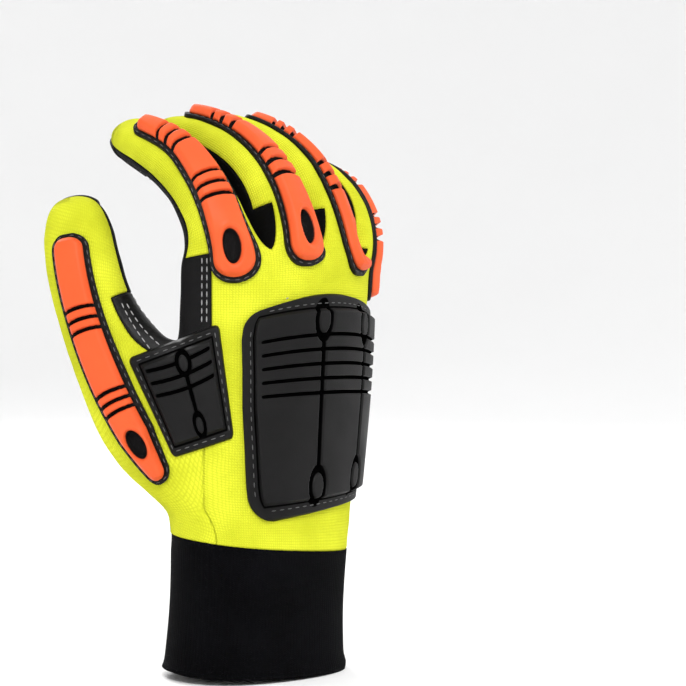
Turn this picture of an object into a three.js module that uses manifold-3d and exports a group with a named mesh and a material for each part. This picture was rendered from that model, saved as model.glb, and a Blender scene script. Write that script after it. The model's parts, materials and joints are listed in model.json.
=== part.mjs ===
// Impact glove for the right hand, fingers up, back of the hand towards -Y, thumb towards -X.
// The origin is the middle of the cuff's mouth. All lengths are in millimetres, angles in degrees.
import * as THREE from 'three';
import { mergeVertices } from 'three/addons/utils/BufferGeometryUtils.js';
import Module from 'manifold-3d';

// Driving dimensions
const CUFF_HEIGHT = 53;
const CUFF_WIDTH = 81;
const CUFF_DEPTH = 55;
const PALM_HEIGHT = 113;
const PALM_WIDTH = 100;
const PALM_DEPTH = 54;
const FINGER_LENGTH = 103;
const FINGER_WIDTH = 28;
const FINGER_DEPTH = 24;
const THUMB_LENGTH = 136;
const THUMB_WIDTH = 37;
const THUMB_DEPTH = 29;

// Walls and gaps
const KNIT_WALL = 2.2;
const CLOTH_WALL = 1.3;
const LEATHER_WALL = 1.4;
const SEAM_GAP = 0.3;
const SEAT_GAP = 0.45;
const TIP_PATCH_THICKNESS = 1.0;
const TIP_PATCH_INSET = 0.8;
const PALM_PATCH_THICKNESS = 1.4;
// A moulded piece starts this far under the surface that it sits on, and is then cut back to its gap
const SUNK = 2.5;
// Points of a cut piece may move this little to save triangles
const SLACK = 0.06;
// Room between a raised part and its base, whose facets don't match
const SEAT_EASE = 0.55;

// Moulded guards on the fingers and the thumb
const GUARD_WIDTH = 17.5;
const GUARD_BORDER = 2.1;
const GUARD_BASE_THICKNESS = 1.2;
const GUARD_RAISE = 3.4;
const GUARD_SKIN = 0.9;
const GUARD_GROOVE = 1.5;
const WINDOW_LENGTH = 13;
const WINDOW_WIDTH = 6;

// Moulded pad on the back of the hand
const PAD_HEIGHT = 90;
const PAD_WIDTH = 84;
const PAD_BORDER = 6;
const PAD_THICKNESS = 1.8;
const PAD_RAISE = 2.6;
const PAD_GROOVE = 1.5;

// Moulded guard over the thumb's web
const WEB_GUARD_HEIGHT = 45;
const WEB_GUARD_WIDTH = 37;
const WEB_GUARD_THICKNESS = 1.6;
const WEB_GUARD_RAISE = 2.2;

// A section of the hand has this many points across its back, as many across its palm, and one at each side
const ACROSS = 9;
const AROUND = 2 * ACROSS + 2;
const REACH_ACROSS = 0.86;
const SECTION_POWER = 2.3;

// Cuff sections from the hem to the seam: height and sideways shift as shares of the cuff's height and
// width, width and depth as shares of the cuff's own, and the tilt of the ring in x and y
const CUFF_SECTIONS = [
  { up: 0.035, shift: -0.02, width: 1.03, depth: 1.01, tiltX: -0.04, tiltY: 0.04 },
  { up: 0.5, shift: -0.005, width: 0.975, depth: 0.96, tiltX: -0.05, tiltY: 0.045 },
  { up: 1.0, shift: 0.01, width: 1.0, depth: 1.0, tiltX: -0.09, tiltY: 0.07 },
];

// Hand sections above the seam: height as a share of the palm's height, shift across and half width as
// shares of its width, and shift, back, palm and arch as shares of its depth
const PALM_SECTIONS = [
  { up: 0.1, shift: 0.025, sink: 0, half: 0.42, back: 0.48, palm: 0.52, arch: 0.02 },
  { up: 0.35, shift: 0.065, sink: -0.03, half: 0.45, back: 0.41, palm: 0.5, arch: 0.075 },
  { up: 0.63, shift: 0.105, sink: -0.075, half: 0.48, back: 0.35, palm: 0.39, arch: 0.165 },
  { up: 0.8, shift: 0.125, sink: -0.09, half: 0.49, back: 0.33, palm: 0.315, arch: 0.22 },
  { up: 0.96, shift: 0.14, sink: -0.11, half: 0.5, back: 0.315, palm: 0.24, arch: 0.26 },
];

// The knuckle line, from the thumb's side to the little finger's, as shares of the palm's height
const KNUCKLES = [1.02, 1.05, 1.02, 1.09, 1.035, 1.07, 1.02, 1.0, 0.95];
const KNUCKLE_SIDES = [1.0, 1.02, 0.91];
const CROTCHES = [1.0, 1.02, 0.975];
const PALM_SIDE_DROP = 0.018;

// The thumb grows out of the thumb's side of the hand between these two sections
const THUMB_FOOT = 1;
const THUMB_WEB = 3;
const WEB_LIFT = { back: 0.035, side: 0.09, palm: 0.035 };

// Fingers: where they start as shares of the palm's width, depth and height, their lie in degrees,
// and their length, width and depth as shares of the longest finger's
const FINGERS = [
  { name: 'index', x: -0.205, y: -0.1, z: 0.922, splay: 5, turn: 13, bend: [25, 17, 34], sway: -4,
    roll: -39, length: 0.96, width: 1.0, depth: 1.02, guard: 0.82 },
  { name: 'middle', x: 0.026, y: -0.226, z: 0.986, splay: 6, turn: 16, bend: [23, 31, 29], sway: 1,
    roll: -7, length: 1.0, width: 0.97, depth: 0.98, guard: 0.83 },
  { name: 'ring', x: 0.264, y: -0.141, z: 0.974, splay: 12, turn: 22, bend: [20, 32, 25], sway: -4,
    roll: 20, length: 0.95, width: 0.93, depth: 0.96, guard: 0.82 },
  { name: 'little', x: 0.491, y: 0.024, z: 0.872, splay: 8, turn: 26, bend: [-1, 29, 42], sway: 10,
    roll: 53, length: 0.79, width: 0.86, depth: 0.92, guard: 0.83 },
];
const FINGER_BENDS = [
  { at: 0.066, over: 0.2 },
  { at: 0.355, over: 0.18 },
  { at: 0.6, over: 0.165 },
];
// Finger sections: place along the finger, and width and depth as shares of the finger's own
const FINGER_SECTIONS = [
  { at: 0.22, width: 0.99, depth: 0.99, roll: 0.55 },
  { at: 0.46, width: 0.965, depth: 0.96, roll: 0.95 },
  { at: 0.72, width: 0.9, depth: 0.9, roll: 1 },
  { at: 0.93, width: 0.66, depth: 0.66, roll: 1 },
];

// The thumb's start and lie
const THUMB = {
  x: -0.23, y: 0.27, z: 0.16, tilt: 27, splay: -34, turn: -69, bend: [9, 8, 11], sway: 33, guard: 0.86,
};
const THUMB_BENDS = [
  { at: 0.2, over: 0.3 },
  { at: 0.47, over: 0.25 },
  { at: 0.75, over: 0.2 },
];
// Thumb sections: place, how far the web side runs ahead, and width, depth and shift as shares
const THUMB_SECTIONS = [
  { at: 0.34, lean: 0.17, width: 1.3, depth: 1.0, shift: 0.1 },
  { at: 0.5, lean: 0.1, width: 1.02, depth: 0.88, shift: 0.1 },
  { at: 0.62, lean: 0.03, width: 0.93, depth: 0.84, shift: 0.09 },
  { at: 0.76, lean: 0, width: 0.92, depth: 0.82, shift: 0.06 },
  { at: 0.89, lean: 0, width: 0.86, depth: 0.74, shift: 0.04 },
  { at: 0.975, lean: 0, width: 0.58, depth: 0.5, shift: 0.03 },
];

// Finger guards from the knuckle to the fingertip: half width as a share of the guard's half width,
// the middles of the cross grooves, and the middle of the window
const FINGER_GUARD = {
  outline: [
    { at: 0.0, half: 0.3 },
    { at: 0.02, half: 0.66 },
    { at: 0.055, half: 0.92 },
    { at: 0.1, half: 1.0 },
    { at: 0.4, half: 0.94 },
    { at: 0.65, half: 0.84 },
    { at: 0.9, half: 0.66 },
    { at: 0.97, half: 0.5 },
    { at: 1.0, half: 0.22 },
  ],
  grooves: [0.4, 0.455, 0.51, 0.72, 0.77, 0.82],
  window: 0.15,
};
// The thumb's guard from the wrist to the thumb's tip: its lower end is the narrow one
const THUMB_GUARD = {
  outline: [
    { at: 0.0, half: 0.2 },
    { at: 0.03, half: 0.5 },
    { at: 0.1, half: 0.82 },
    { at: 0.2, half: 0.98 },
    { at: 0.4, half: 1.0 },
    { at: 0.7, half: 0.96 },
    { at: 0.9, half: 0.96 },
    { at: 0.95, half: 0.84 },
    { at: 0.98, half: 0.6 },
    { at: 1.0, half: 0.3 },
  ],
  grooves: [0.31, 0.35, 0.39, 0.63, 0.675, 0.72],
  window: 0.17,
};
const THUMB_GUARD_FROM = 0.1;
const THUMB_GUARD_WIDTH = 0.88;
const THUMB_GUARD_ROLL = 12;

// Back pad outline from its top edge down: how far it reaches to each side, as shares of the pad's width
const PAD_OUTLINE = [
  { down: 0.0, left: -0.25, right: 0.36 },
  { down: 0.02, left: -0.33, right: 0.45 },
  { down: 0.07, left: -0.385, right: 0.52 },
  { down: 0.16, left: -0.4, right: 0.55 },
  { down: 0.5, left: -0.375, right: 0.545 },
  { down: 0.85, left: -0.33, right: 0.51 },
  { down: 0.93, left: -0.3, right: 0.48 },
  { down: 0.98, left: -0.24, right: 0.42 },
  { down: 1.0, left: -0.15, right: 0.33 },
];
const PAD_TOP = 0.89;
// The top edge falls away to both sides, and the lower edge rises to the little finger's side
const PAD_BROW = 0.07;
const PAD_LOWER_RISE = 0.06;
const PAD_GROOVES = [0.18, 0.245, 0.31, 0.375, 0.44];

// The web guard's corners, seen square on: across towards the fingers and up, as shares of its size
const WEB_GUARD_CORNERS = {
  topLeft: [-0.62, 0.29],
  topRight: [0.36, 0.6],
  bottomRight: [0.53, -0.4],
  bottomLeft: [-0.12, -0.58],
};
const WEB_GUARD_CENTRE = { x: -0.388, y: -0.02, z: 0.545 };
const WEB_GUARD_FACING = -42;
const WEB_GUARD_RIM = 0.09;
const WEB_GUARD_GROOVES = [0.2, 0.32, 0.44];
const WEB_GUARD_GROOVE = 0.035;

// Palm patches in columns from the little finger's side to the thumb's: arc from the palm's middle as a
// share of the palm's width, and their upper and lower edges as shares of the palm's height
const PALM_PATCHES = {
  upper: [
    { arc: -0.4, top: 0.83, bottom: 0.7 },
    { arc: -0.31, top: 0.9, bottom: 0.7 },
    { arc: -0.21, top: 0.88, bottom: 0.72 },
    { arc: -0.1, top: 0.96, bottom: 0.74 },
    { arc: 0.0, top: 0.9, bottom: 0.74 },
    { arc: 0.11, top: 0.97, bottom: 0.72 },
    { arc: 0.2, top: 0.9, bottom: 0.69 },
    { arc: 0.29, top: 0.94, bottom: 0.67 },
    { arc: 0.36, top: 0.91, bottom: 0.67 },
  ],
  lower: [
    { arc: -0.38, top: 0.3, bottom: 0.05 },
    { arc: -0.28, top: 0.37, bottom: 0.04 },
    { arc: -0.18, top: 0.4, bottom: 0.07 },
    { arc: -0.09, top: 0.41, bottom: 0.2 },
    { arc: -0.03, top: 0.41, bottom: 0.29 },
    { arc: 0.02, top: 0.41, bottom: 0.2 },
    { arc: 0.08, top: 0.39, bottom: 0.08 },
    { arc: 0.16, top: 0.42, bottom: 0.06 },
    { arc: 0.24, top: 0.49, bottom: 0.11 },
    { arc: 0.32, top: 0.56, bottom: 0.21 },
    { arc: 0.38, top: 0.59, bottom: 0.33 },
  ],
};
const PALM_PATCH_ROWS = [0, 0.33, 0.67, 1];

const PIECE_COLOURS = {
  yellowCloth: { color: 0xd8f014, roughness: 0.85, metalness: 0 },
  blackKnit: { color: 0x111216, roughness: 0.95, metalness: 0 },
  blackCloth: { color: 0x141414, roughness: 0.9, metalness: 0 },
  blackLeather: { color: 0x1b1b1c, roughness: 0.6, metalness: 0 },
  blackRubber: { color: 0x2a2b2d, roughness: 0.55, metalness: 0 },
  orangeRubber: { color: 0xf5693c, roughness: 0.5, metalness: 0 },
};

const wasm = await Module();
wasm.setup();

const X = new THREE.Vector3(1, 0, 0);
const Y = new THREE.Vector3(0, 1, 0);
const Z = new THREE.Vector3(0, 0, 1);

function radians(degrees) {
  return (degrees * Math.PI) / 180;
}

// Value of a column of a table at a place between its rows
function between(rows, key, column, place) {
  const last = rows.length - 1;
  if (place <= rows[0][key]) return rows[0][column];
  if (place >= rows[last][key]) return rows[last][column];
  const next = rows.findIndex((row) => row[key] >= place);
  const before = rows[next - 1];
  const share = (place - before[key]) / (rows[next][key] - before[key]);
  return before[column] + share * (rows[next][column] - before[column]);
}

// One ring of points round the hand: thumb's side, back, little finger's side, palm
function handRing({ x, y, z, half, back, palm, arch }) {
  const across = (k) => -REACH_ACROSS + (2 * REACH_ACROSS * k) / (ACROSS - 1);
  const depthAt = (u, depth) => depth * (1 - Math.abs(u) ** SECTION_POWER) ** (1 / SECTION_POWER);
  const ring = [new THREE.Vector3(x - half, y + arch, z)];
  for (let k = 0; k < ACROSS; k += 1) {
    const u = across(k);
    ring.push(new THREE.Vector3(x + half * u, y - depthAt(u, back) + arch * u * u, z));
  }
  ring.push(new THREE.Vector3(x + half, y + arch, z));
  for (let k = ACROSS - 1; k >= 0; k -= 1) {
    const u = across(k);
    ring.push(new THREE.Vector3(x + half * u, y + depthAt(u, palm) + arch * u * u, z));
  }
  return ring;
}

function cuffRing(row) {
  const ring = handRing({
    x: row.shift * CUFF_WIDTH,
    y: 0,
    z: row.up * CUFF_HEIGHT,
    half: (row.width * CUFF_WIDTH) / 2,
    back: (row.depth * CUFF_DEPTH) / 2,
    palm: (row.depth * CUFF_DEPTH) / 2,
    arch: 0,
  });
  for (const point of ring) {
    point.z += row.tiltX * point.x + row.tiltY * point.y;
  }
  return ring;
}

function palmRing(row) {
  return handRing({
    x: row.shift * PALM_WIDTH,
    y: row.sink * PALM_DEPTH,
    z: CUFF_HEIGHT + row.up * PALM_HEIGHT,
    half: row.half * PALM_WIDTH,
    back: row.back * PALM_DEPTH,
    palm: row.palm * PALM_DEPTH,
    arch: row.arch * PALM_DEPTH,
  });
}

// Places and directions along the middle of a bent finger or thumb
class Spine {
  constructor(start, turn, length, bends, angles, sway) {
    const steps = 80;
    this.length = length;
    this.frames = [];
    let along = Z.clone().applyMatrix4(turn);
    let back = Y.clone().negate().applyMatrix4(turn);
    let side = X.clone().applyMatrix4(turn);
    let place = start.clone();
    this.frames.push({ place, along, back, side });
    for (let step = 0; step < steps; step += 1) {
      const share = (step + 0.5) / steps;
      let rate = 0;
      bends.forEach((bend, k) => {
        const t = (share - bend.at) / bend.over + 0.5;
        if (t > 0 && t < 1) rate += (angles[k] * 6 * t * (1 - t)) / bend.over;
      });
      const bendStep = radians(rate / steps);
      const swayStep = radians(sway / steps);
      const next = along.clone().addScaledVector(back, -bendStep).addScaledVector(side, swayStep);
      next.normalize();
      back = back.clone().addScaledVector(along, bendStep);
      back.addScaledVector(next, -back.dot(next)).normalize();
      along = next;
      side = new THREE.Vector3().crossVectors(back, along).negate();
      if (side.dot(this.frames[step].side) < 0) side.negate();
      place = place.clone().addScaledVector(along, length / steps);
      this.frames.push({ place, along, back, side });
    }
  }

  // The frame at a share of the length, which may run a little past either end
  at(share, roll = 0) {
    const steps = this.frames.length - 1;
    const held = Math.min(Math.max(share, 0), 1);
    const low = Math.min(Math.floor(held * steps), steps - 1);
    const mix = held * steps - low;
    const [a, b] = [this.frames[low], this.frames[low + 1]];
    const place = a.place.clone().lerp(b.place, mix);
    const along = a.along.clone().lerp(b.along, mix).normalize();
    place.addScaledVector(along, (share - held) * this.length);
    const flatBack = a.back.clone().lerp(b.back, mix).normalize();
    const flatSide = a.side.clone().lerp(b.side, mix).normalize();
    const [c, s] = [Math.cos(radians(roll)), Math.sin(radians(roll))];
    const back = flatBack.clone().multiplyScalar(c).addScaledVector(flatSide, s);
    const side = flatSide.clone().multiplyScalar(c).addScaledVector(flatBack, -s);
    return { place, along, back, side };
  }
}

function lieOf(row) {
  const turn = new THREE.Matrix4().makeRotationZ(radians(row.turn));
  turn.premultiply(new THREE.Matrix4().makeRotationY(radians(row.splay)));
  turn.premultiply(new THREE.Matrix4().makeRotationX(radians(-(row.tilt ?? 0))));
  return turn;
}

function startOf(row) {
  return new THREE.Vector3(
    row.x * PALM_WIDTH, row.y * PALM_DEPTH, CUFF_HEIGHT + row.z * PALM_HEIGHT,
  );
}

// A cage of four-sided faces, each with a tag, that is rounded off by subdivision
class Cage {
  constructor() {
    this.points = [];
    this.faces = [];
    this.tags = [];
  }

  add(points) {
    const first = this.points.length;
    this.points.push(...points);
    return points.map((_, k) => first + k);
  }

  face(corners, tag) {
    this.faces.push(corners);
    this.tags.push(tag);
  }

  // Faces between two rings of equally many points
  join(lower, upper, tagOf) {
    lower.forEach((_, k) => {
      const next = (k + 1) % lower.length;
      const tag = tagOf(k);
      if (tag) this.face([lower[k], lower[next], upper[next], upper[k]], tag);
    });
  }

  // A tube of eight-sided rings that closes at its tip
  tube(base, spine, sections, name) {
    let ring = base;
    sections.forEach((section, k) => {
      const points = RING_OF_EIGHT.map(([across, outward]) => {
        const frame = spine.at(section.at + section.lean * across, section.roll);
        const aside = section.half * across + section.shift;
        return frame.place
          .addScaledVector(frame.side, aside)
          .addScaledVector(frame.back, section.deep * outward);
      });
      const next = this.add(points);
      this.join(ring, next, (m) => ({ part: name, row: k, column: m }));
      ring = next;
    });
    const [tip] = this.add([spine.at(1).place]);
    TIP_FACES.forEach(({ corners, column }) => {
      const [a, b, c] = corners.map((m) => ring[m]);
      this.face([tip, a, b, c], { part: name, row: sections.length, column });
    });
  }
}

// Corners of an eight-sided ring as shares of its half width and half depth, from the back's thumb side
const CORNER = 0.8;
const RING_OF_EIGHT = [
  [-CORNER, CORNER], [0, 1], [CORNER, CORNER], [1, 0],
  [CORNER, -CORNER], [0, -1], [-CORNER, -CORNER], [-1, 0],
];
const TIP_FACES = [
  { corners: [7, 0, 1], column: 0 },
  { corners: [1, 2, 3], column: 1 },
  { corners: [3, 4, 5], column: 4 },
  { corners: [5, 6, 7], column: 5 },
];

const fingerSpines = new Map(FINGERS.map((finger) => [
  finger.name,
  new Spine(startOf(finger), lieOf(finger), finger.length * FINGER_LENGTH, FINGER_BENDS, finger.bend,
    finger.sway),
]));
const thumbSpine = new Spine(
  startOf(THUMB), lieOf(THUMB), THUMB_LENGTH, THUMB_BENDS, THUMB.bend, THUMB.sway,
);

function handCage() {
  const cage = new Cage();
  const rings = [cuffRing(CUFF_SECTIONS.at(-1)), ...PALM_SECTIONS.map(palmRing)];
  const web = rings[THUMB_WEB];
  web[1].z += WEB_LIFT.back * PALM_HEIGHT;
  web[0].z += WEB_LIFT.side * PALM_HEIGHT;
  web[AROUND - 1].z += WEB_LIFT.palm * PALM_HEIGHT;
  const knuckles = palmRing(PALM_SECTIONS.at(-1));
  const height = (share) => CUFF_HEIGHT + share * PALM_HEIGHT;
  for (let k = 0; k < ACROSS; k += 1) {
    knuckles[1 + k].z = height(KNUCKLES[k]);
    knuckles[AROUND - 1 - k].z = height(KNUCKLES[k] - PALM_SIDE_DROP);
  }
  knuckles[0].z = height(KNUCKLE_SIDES[0]);
  knuckles[ACROSS + 1].z = height(KNUCKLE_SIDES[2]);
  rings.push(knuckles);

  const rows = rings.map((ring) => cage.add(ring));
  for (let row = 0; row < rows.length - 1; row += 1) {
    const atThumb = row >= THUMB_FOOT && row < THUMB_WEB;
    cage.join(rows[row], rows[row + 1], (column) => {
      const thumbSide = column === 0 || column === AROUND - 1;
      return atThumb && thumbSide ? null : { part: 'hand', row, column };
    });
  }

  const top = rows.at(-1);
  const back = (k) => top[1 + k];
  const palm = (k) => top[AROUND - 1 - k];
  const crotches = CROTCHES.map((share, k) => {
    const middle = knuckles[1 + 2 * (k + 1)].clone().add(knuckles[AROUND - 1 - 2 * (k + 1)]);
    middle.multiplyScalar(0.5);
    middle.z = height(share);
    return cage.add([middle])[0];
  });
  const sides = [top[0], ...crotches, top[ACROSS + 1]];
  FINGERS.forEach((finger, k) => {
    const j = 2 * k;
    const base = [
      back(j), back(j + 1), back(j + 2), sides[k + 1], palm(j + 2), palm(j + 1), palm(j), sides[k],
    ];
    const sections = FINGER_SECTIONS.map((row) => ({
      at: row.at,
      lean: 0,
      shift: 0,
      roll: row.roll * finger.roll,
      half: (row.width * finger.width * FINGER_WIDTH) / 2,
      deep: (row.depth * finger.depth * FINGER_DEPTH) / 2,
    }));
    cage.tube(base, fingerSpines.get(finger.name), sections, finger.name);
  });

  const [foot, middle, webRow] = [rows[THUMB_FOOT], rows[THUMB_FOOT + 1], rows[THUMB_WEB]];
  const thumbBase = [
    foot[1], middle[1], webRow[1], webRow[0],
    webRow[AROUND - 1], middle[AROUND - 1], foot[AROUND - 1], foot[0],
  ];
  const thumbSections = THUMB_SECTIONS.map((row) => ({
    at: row.at,
    lean: row.lean,
    shift: row.shift * THUMB_WIDTH,
    roll: 0,
    half: (row.width * THUMB_WIDTH) / 2,
    deep: (row.depth * THUMB_DEPTH) / 2,
  }));
  cage.tube(thumbBase, thumbSpine, thumbSections, 'thumb');
  return cage;
}

function cuffCage() {
  const cage = new Cage();
  const rows = CUFF_SECTIONS.map((row) => cage.add(cuffRing(row)));
  for (let row = 0; row < rows.length - 1; row += 1) {
    cage.join(rows[row], rows[row + 1], (column) => ({ part: 'cuff', row, column }));
  }
  return cage;
}

// Edges of a mesh: key, ends and the faces on them
function edgesOf(faces) {
  const edges = new Map();
  faces.forEach((face, f) => {
    face.forEach((a, k) => {
      const b = face[(k + 1) % face.length];
      const key = a < b ? `${a}_${b}` : `${b}_${a}`;
      if (!edges.has(key)) edges.set(key, { ends: [a, b], faces: [] });
      edges.get(key).faces.push(f);
    });
  });
  return edges;
}

function mean(points) {
  const sum = new THREE.Vector3();
  points.forEach((point) => sum.add(point));
  return sum.multiplyScalar(1 / points.length);
}

// One step of Catmull-Clark subdivision; an open edge follows its own smooth curve
function subdivide({ points, faces, tags }) {
  const edges = edgesOf(faces);
  const centres = faces.map((face) => mean(face.map((v) => points[v])));
  const around = points.map(() => ({ faces: [], middles: [], rim: [] }));
  faces.forEach((face, f) => face.forEach((v) => around[v].faces.push(f)));
  const edgePoints = [];
  const edgeIndex = new Map();
  for (const [key, edge] of edges) {
    const [a, b] = edge.ends;
    const middle = mean([points[a], points[b]]);
    around[a].middles.push(middle);
    around[b].middles.push(middle);
    const open = edge.faces.length < 2;
    if (open) {
      around[a].rim.push(points[b]);
      around[b].rim.push(points[a]);
    }
    const corners = [points[a], points[b], ...edge.faces.map((f) => centres[f])];
    edgeIndex.set(key, points.length + edgePoints.length);
    edgePoints.push(open ? middle : mean(corners));
  }
  const moved = points.map((point, v) => {
    const near = around[v];
    if (near.rim.length > 0) {
      return point.clone().multiplyScalar(6).add(near.rim[0]).add(near.rim[1]).multiplyScalar(1 / 8);
    }
    const n = near.faces.length;
    if (n === 0) return point.clone();
    const result = mean(near.faces.map((f) => centres[f]));
    result.addScaledVector(mean(near.middles), 2);
    return result.addScaledVector(point, n - 3).multiplyScalar(1 / n);
  });
  const firstCentre = points.length + edgePoints.length;
  const finer = { points: [...moved, ...edgePoints, ...centres], faces: [], tags: [] };
  const middleOf = (a, b) => edgeIndex.get(a < b ? `${a}_${b}` : `${b}_${a}`);
  faces.forEach((face, f) => {
    face.forEach((v, k) => {
      const next = face[(k + 1) % face.length];
      const last = face[(k + face.length - 1) % face.length];
      finer.faces.push([v, middleOf(v, next), firstCentre + f, middleOf(last, v)]);
      finer.tags.push(tags[f]);
    });
  });
  return finer;
}

// Moves each point of a four-sided mesh to where endless subdivision would take it
function toLimit({ points, faces, tags }) {
  const near = points.map(() => ({ edge: new Set(), corner: [], count: 0 }));
  faces.forEach((face) => face.forEach((v, k) => {
    near[v].edge.add(face[(k + 1) % 4]);
    near[v].edge.add(face[(k + 3) % 4]);
    near[v].corner.push(face[(k + 2) % 4]);
    near[v].count += 1;
  }));
  const rim = points.map(() => []);
  for (const edge of edgesOf(faces).values()) {
    if (edge.faces.length < 2) {
      rim[edge.ends[0]].push(edge.ends[1]);
      rim[edge.ends[1]].push(edge.ends[0]);
    }
  }
  const moved = points.map((point, v) => {
    if (rim[v].length > 0) {
      const result = point.clone().multiplyScalar(4);
      rim[v].forEach((other) => result.add(points[other]));
      return result.multiplyScalar(1 / 6);
    }
    const n = near[v].count;
    if (n === 0) return point.clone();
    const result = point.clone().multiplyScalar(n * n);
    near[v].edge.forEach((other) => result.addScaledVector(points[other], 4));
    near[v].corner.forEach((other) => result.add(points[other]));
    return result.multiplyScalar(1 / (n * (n + 5)));
  });
  return { points: moved, faces, tags };
}

function pointNormals({ points, faces }) {
  const normals = points.map(() => new THREE.Vector3());
  faces.forEach(([a, b, c, d]) => {
    const across = points[c].clone().sub(points[a]);
    const normal = across.cross(points[d].clone().sub(points[b]));
    [a, b, c, d].forEach((v) => normals[v].add(normal));
  });
  return normals.map((normal) => normal.normalize());
}

// A four-sided face as two triangles along its shorter diagonal
function split([a, b, c, d], points) {
  const short = points[a].distanceTo(points[c]) <= points[b].distanceTo(points[d]);
  return short ? [[a, b, c], [a, c, d]] : [[a, b, d], [b, c, d]];
}

function geometryFrom(points, triangles) {
  const positions = points.flatMap((point) => [point.x, point.y, point.z]);
  const geometry = new THREE.BufferGeometry();
  geometry.setAttribute('position', new THREE.Float32BufferAttribute(positions, 3));
  geometry.setIndex(triangles.flat());
  return geometry;
}

// A wall over the chosen faces of a surface: it lies between two distances from the surface
function wallOver(surface, chosen, inner, outer, inset) {
  const { points, normals } = surface;
  const faces = surface.faces.filter((_, f) => chosen(surface.tags[f]));
  const rim = [...edgesOf(faces).values()].filter((edge) => edge.faces.length < 2);
  const pull = new Map();
  for (const { ends: [a, b] } of rim) {
    for (const v of [a, b]) {
      const along = points[b].clone().sub(points[a]).normalize();
      const inward = normals[v].clone().cross(along).normalize();
      if (!pull.has(v)) pull.set(v, new THREE.Vector3());
      pull.get(v).add(inward);
    }
  }
  const index = new Map();
  const top = [];
  const bottom = [];
  faces.flat().forEach((v) => {
    if (index.has(v)) return;
    index.set(v, top.length);
    const place = points[v].clone();
    if (pull.has(v)) place.addScaledVector(pull.get(v).normalize(), inset);
    top.push(place.clone().addScaledVector(normals[v], outer));
    bottom.push(place.clone().addScaledVector(normals[v], inner));
  });
  const count = top.length;
  const triangles = [];
  faces.forEach((face) => {
    for (const [a, b, c] of split(face, points)) {
      const [i, j, k] = [index.get(a), index.get(b), index.get(c)];
      triangles.push([i, j, k], [count + i, count + k, count + j]);
    }
  });
  for (const { ends: [a, b] } of rim) {
    const [i, j] = [index.get(a), index.get(b)];
    if (a < b) {
      triangles.push([i, count + j, j], [i, count + i, count + j]);
    } else {
      triangles.push([i, count + i, j], [j, count + i, count + j]);
    }
  }
  return geometryFrom([...top, ...bottom], triangles);
}

function smoothSurface(cage) {
  const surface = toLimit(subdivide(cage));
  surface.normals = pointNormals(surface);
  return surface;
}

const hand = smoothSurface(handCage());
const cuff = smoothSurface(cuffCage());

const bulk = bulkOf(hand, SEAT_GAP);
const outside = new THREE.Mesh(
  geometryFrom(hand.points, hand.faces.flatMap((face) => split(face, hand.points))),
  new THREE.MeshBasicMaterial({ side: THREE.DoubleSide }),
);
const raycaster = new THREE.Raycaster();

// The glove's outside as one solid, larger by a gap all round, that cuts a piece back to its seat
function bulkOf(surface, gap) {
  const points = surface.points.map((point, v) => point.clone().addScaledVector(surface.normals[v], gap));
  const triangles = surface.faces.flatMap((face) => split(face, surface.points));
  const rim = [...edgesOf(surface.faces).values()].filter((edge) => edge.faces.length < 2);
  const middle = points.length;
  points.push(mean(rim.map((edge) => points[edge.ends[0]])));
  rim.forEach(({ ends: [a, b] }) => triangles.push([b, a, middle]));
  return toManifold(facesOut(geometryFrom(points, triangles)));
}

// A piece cut back to what it sits on; crumbs that the cut leaves are dropped
function seated(geometry, ...seats) {
  const cut = seats.reduce((solid, seat) => solid.subtract(seat), toManifold(geometry));
  const [largest] = cut.simplify(SLACK).decompose().sort((a, b) => b.volume() - a.volume());
  return largest;
}

// The nearest place on the glove's outside along a line
function onGlove(from, direction) {
  raycaster.set(from, direction.clone().normalize());
  const [hit] = raycaster.intersectObject(outside);
  if (!hit) throw new Error('a line misses the glove');
  return hit.point;
}

// A closed slab over a grid of places, each with its outward direction and its two heights
function slab(grid) {
  const [rows, columns] = [grid.length, grid[0].length];
  const points = [];
  for (const side of ['high', 'low']) {
    for (const row of grid) {
      for (const cell of row) {
        points.push(cell.place.clone().addScaledVector(cell.outward, cell[side]));
      }
    }
  }
  const count = rows * columns;
  const at = (row, column) => row * columns + column;
  const triangles = [];
  const rim = [];
  for (let row = 0; row < rows - 1; row += 1) {
    for (let column = 0; column < columns - 1; column += 1) {
      const face = [at(row, column), at(row, column + 1), at(row + 1, column + 1), at(row + 1, column)];
      for (const [a, b, c] of split(face, points)) {
        triangles.push([a, b, c]);
      }
      for (const [a, b, c] of split(face.map((v) => v + count), points)) {
        triangles.push([a, c, b]);
      }
    }
  }
  for (let column = 0; column < columns - 1; column += 1) {
    rim.push([at(0, column), at(0, column + 1)]);
    rim.push([at(rows - 1, column + 1), at(rows - 1, column)]);
  }
  for (let row = 0; row < rows - 1; row += 1) {
    rim.push([at(row + 1, 0), at(row, 0)]);
    rim.push([at(row, columns - 1), at(row + 1, columns - 1)]);
  }
  for (const [a, b] of rim) {
    triangles.push([a, a + count, b + count], [a, b + count, b]);
  }
  const geometry = geometryFrom(points, triangles);
  return facesOut(geometry);
}

// Turns a closed mesh the right way out
function facesOut(geometry) {
  const position = geometry.getAttribute('position');
  const index = [...geometry.getIndex().array];
  let volume = 0;
  for (let k = 0; k < index.length; k += 3) {
    const [a, b, c] = [0, 1, 2].map((m) => new THREE.Vector3().fromBufferAttribute(position, index[k + m]));
    volume += a.dot(b.cross(c));
  }
  if (volume < 0) {
    for (let k = 0; k < index.length; k += 3) {
      [index[k + 1], index[k + 2]] = [index[k + 2], index[k + 1]];
    }
    geometry.setIndex(index);
  }
  return geometry;
}

function toManifold(geometry) {
  const bare = mergeVertices(geometry.clone().deleteAttribute('normal').deleteAttribute('uv'));
  return new wasm.Manifold(new wasm.Mesh({
    numProp: 3,
    vertProperties: new Float32Array(bare.getAttribute('position').array),
    triVerts: new Uint32Array(bare.getIndex().array),
  }));
}

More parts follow.
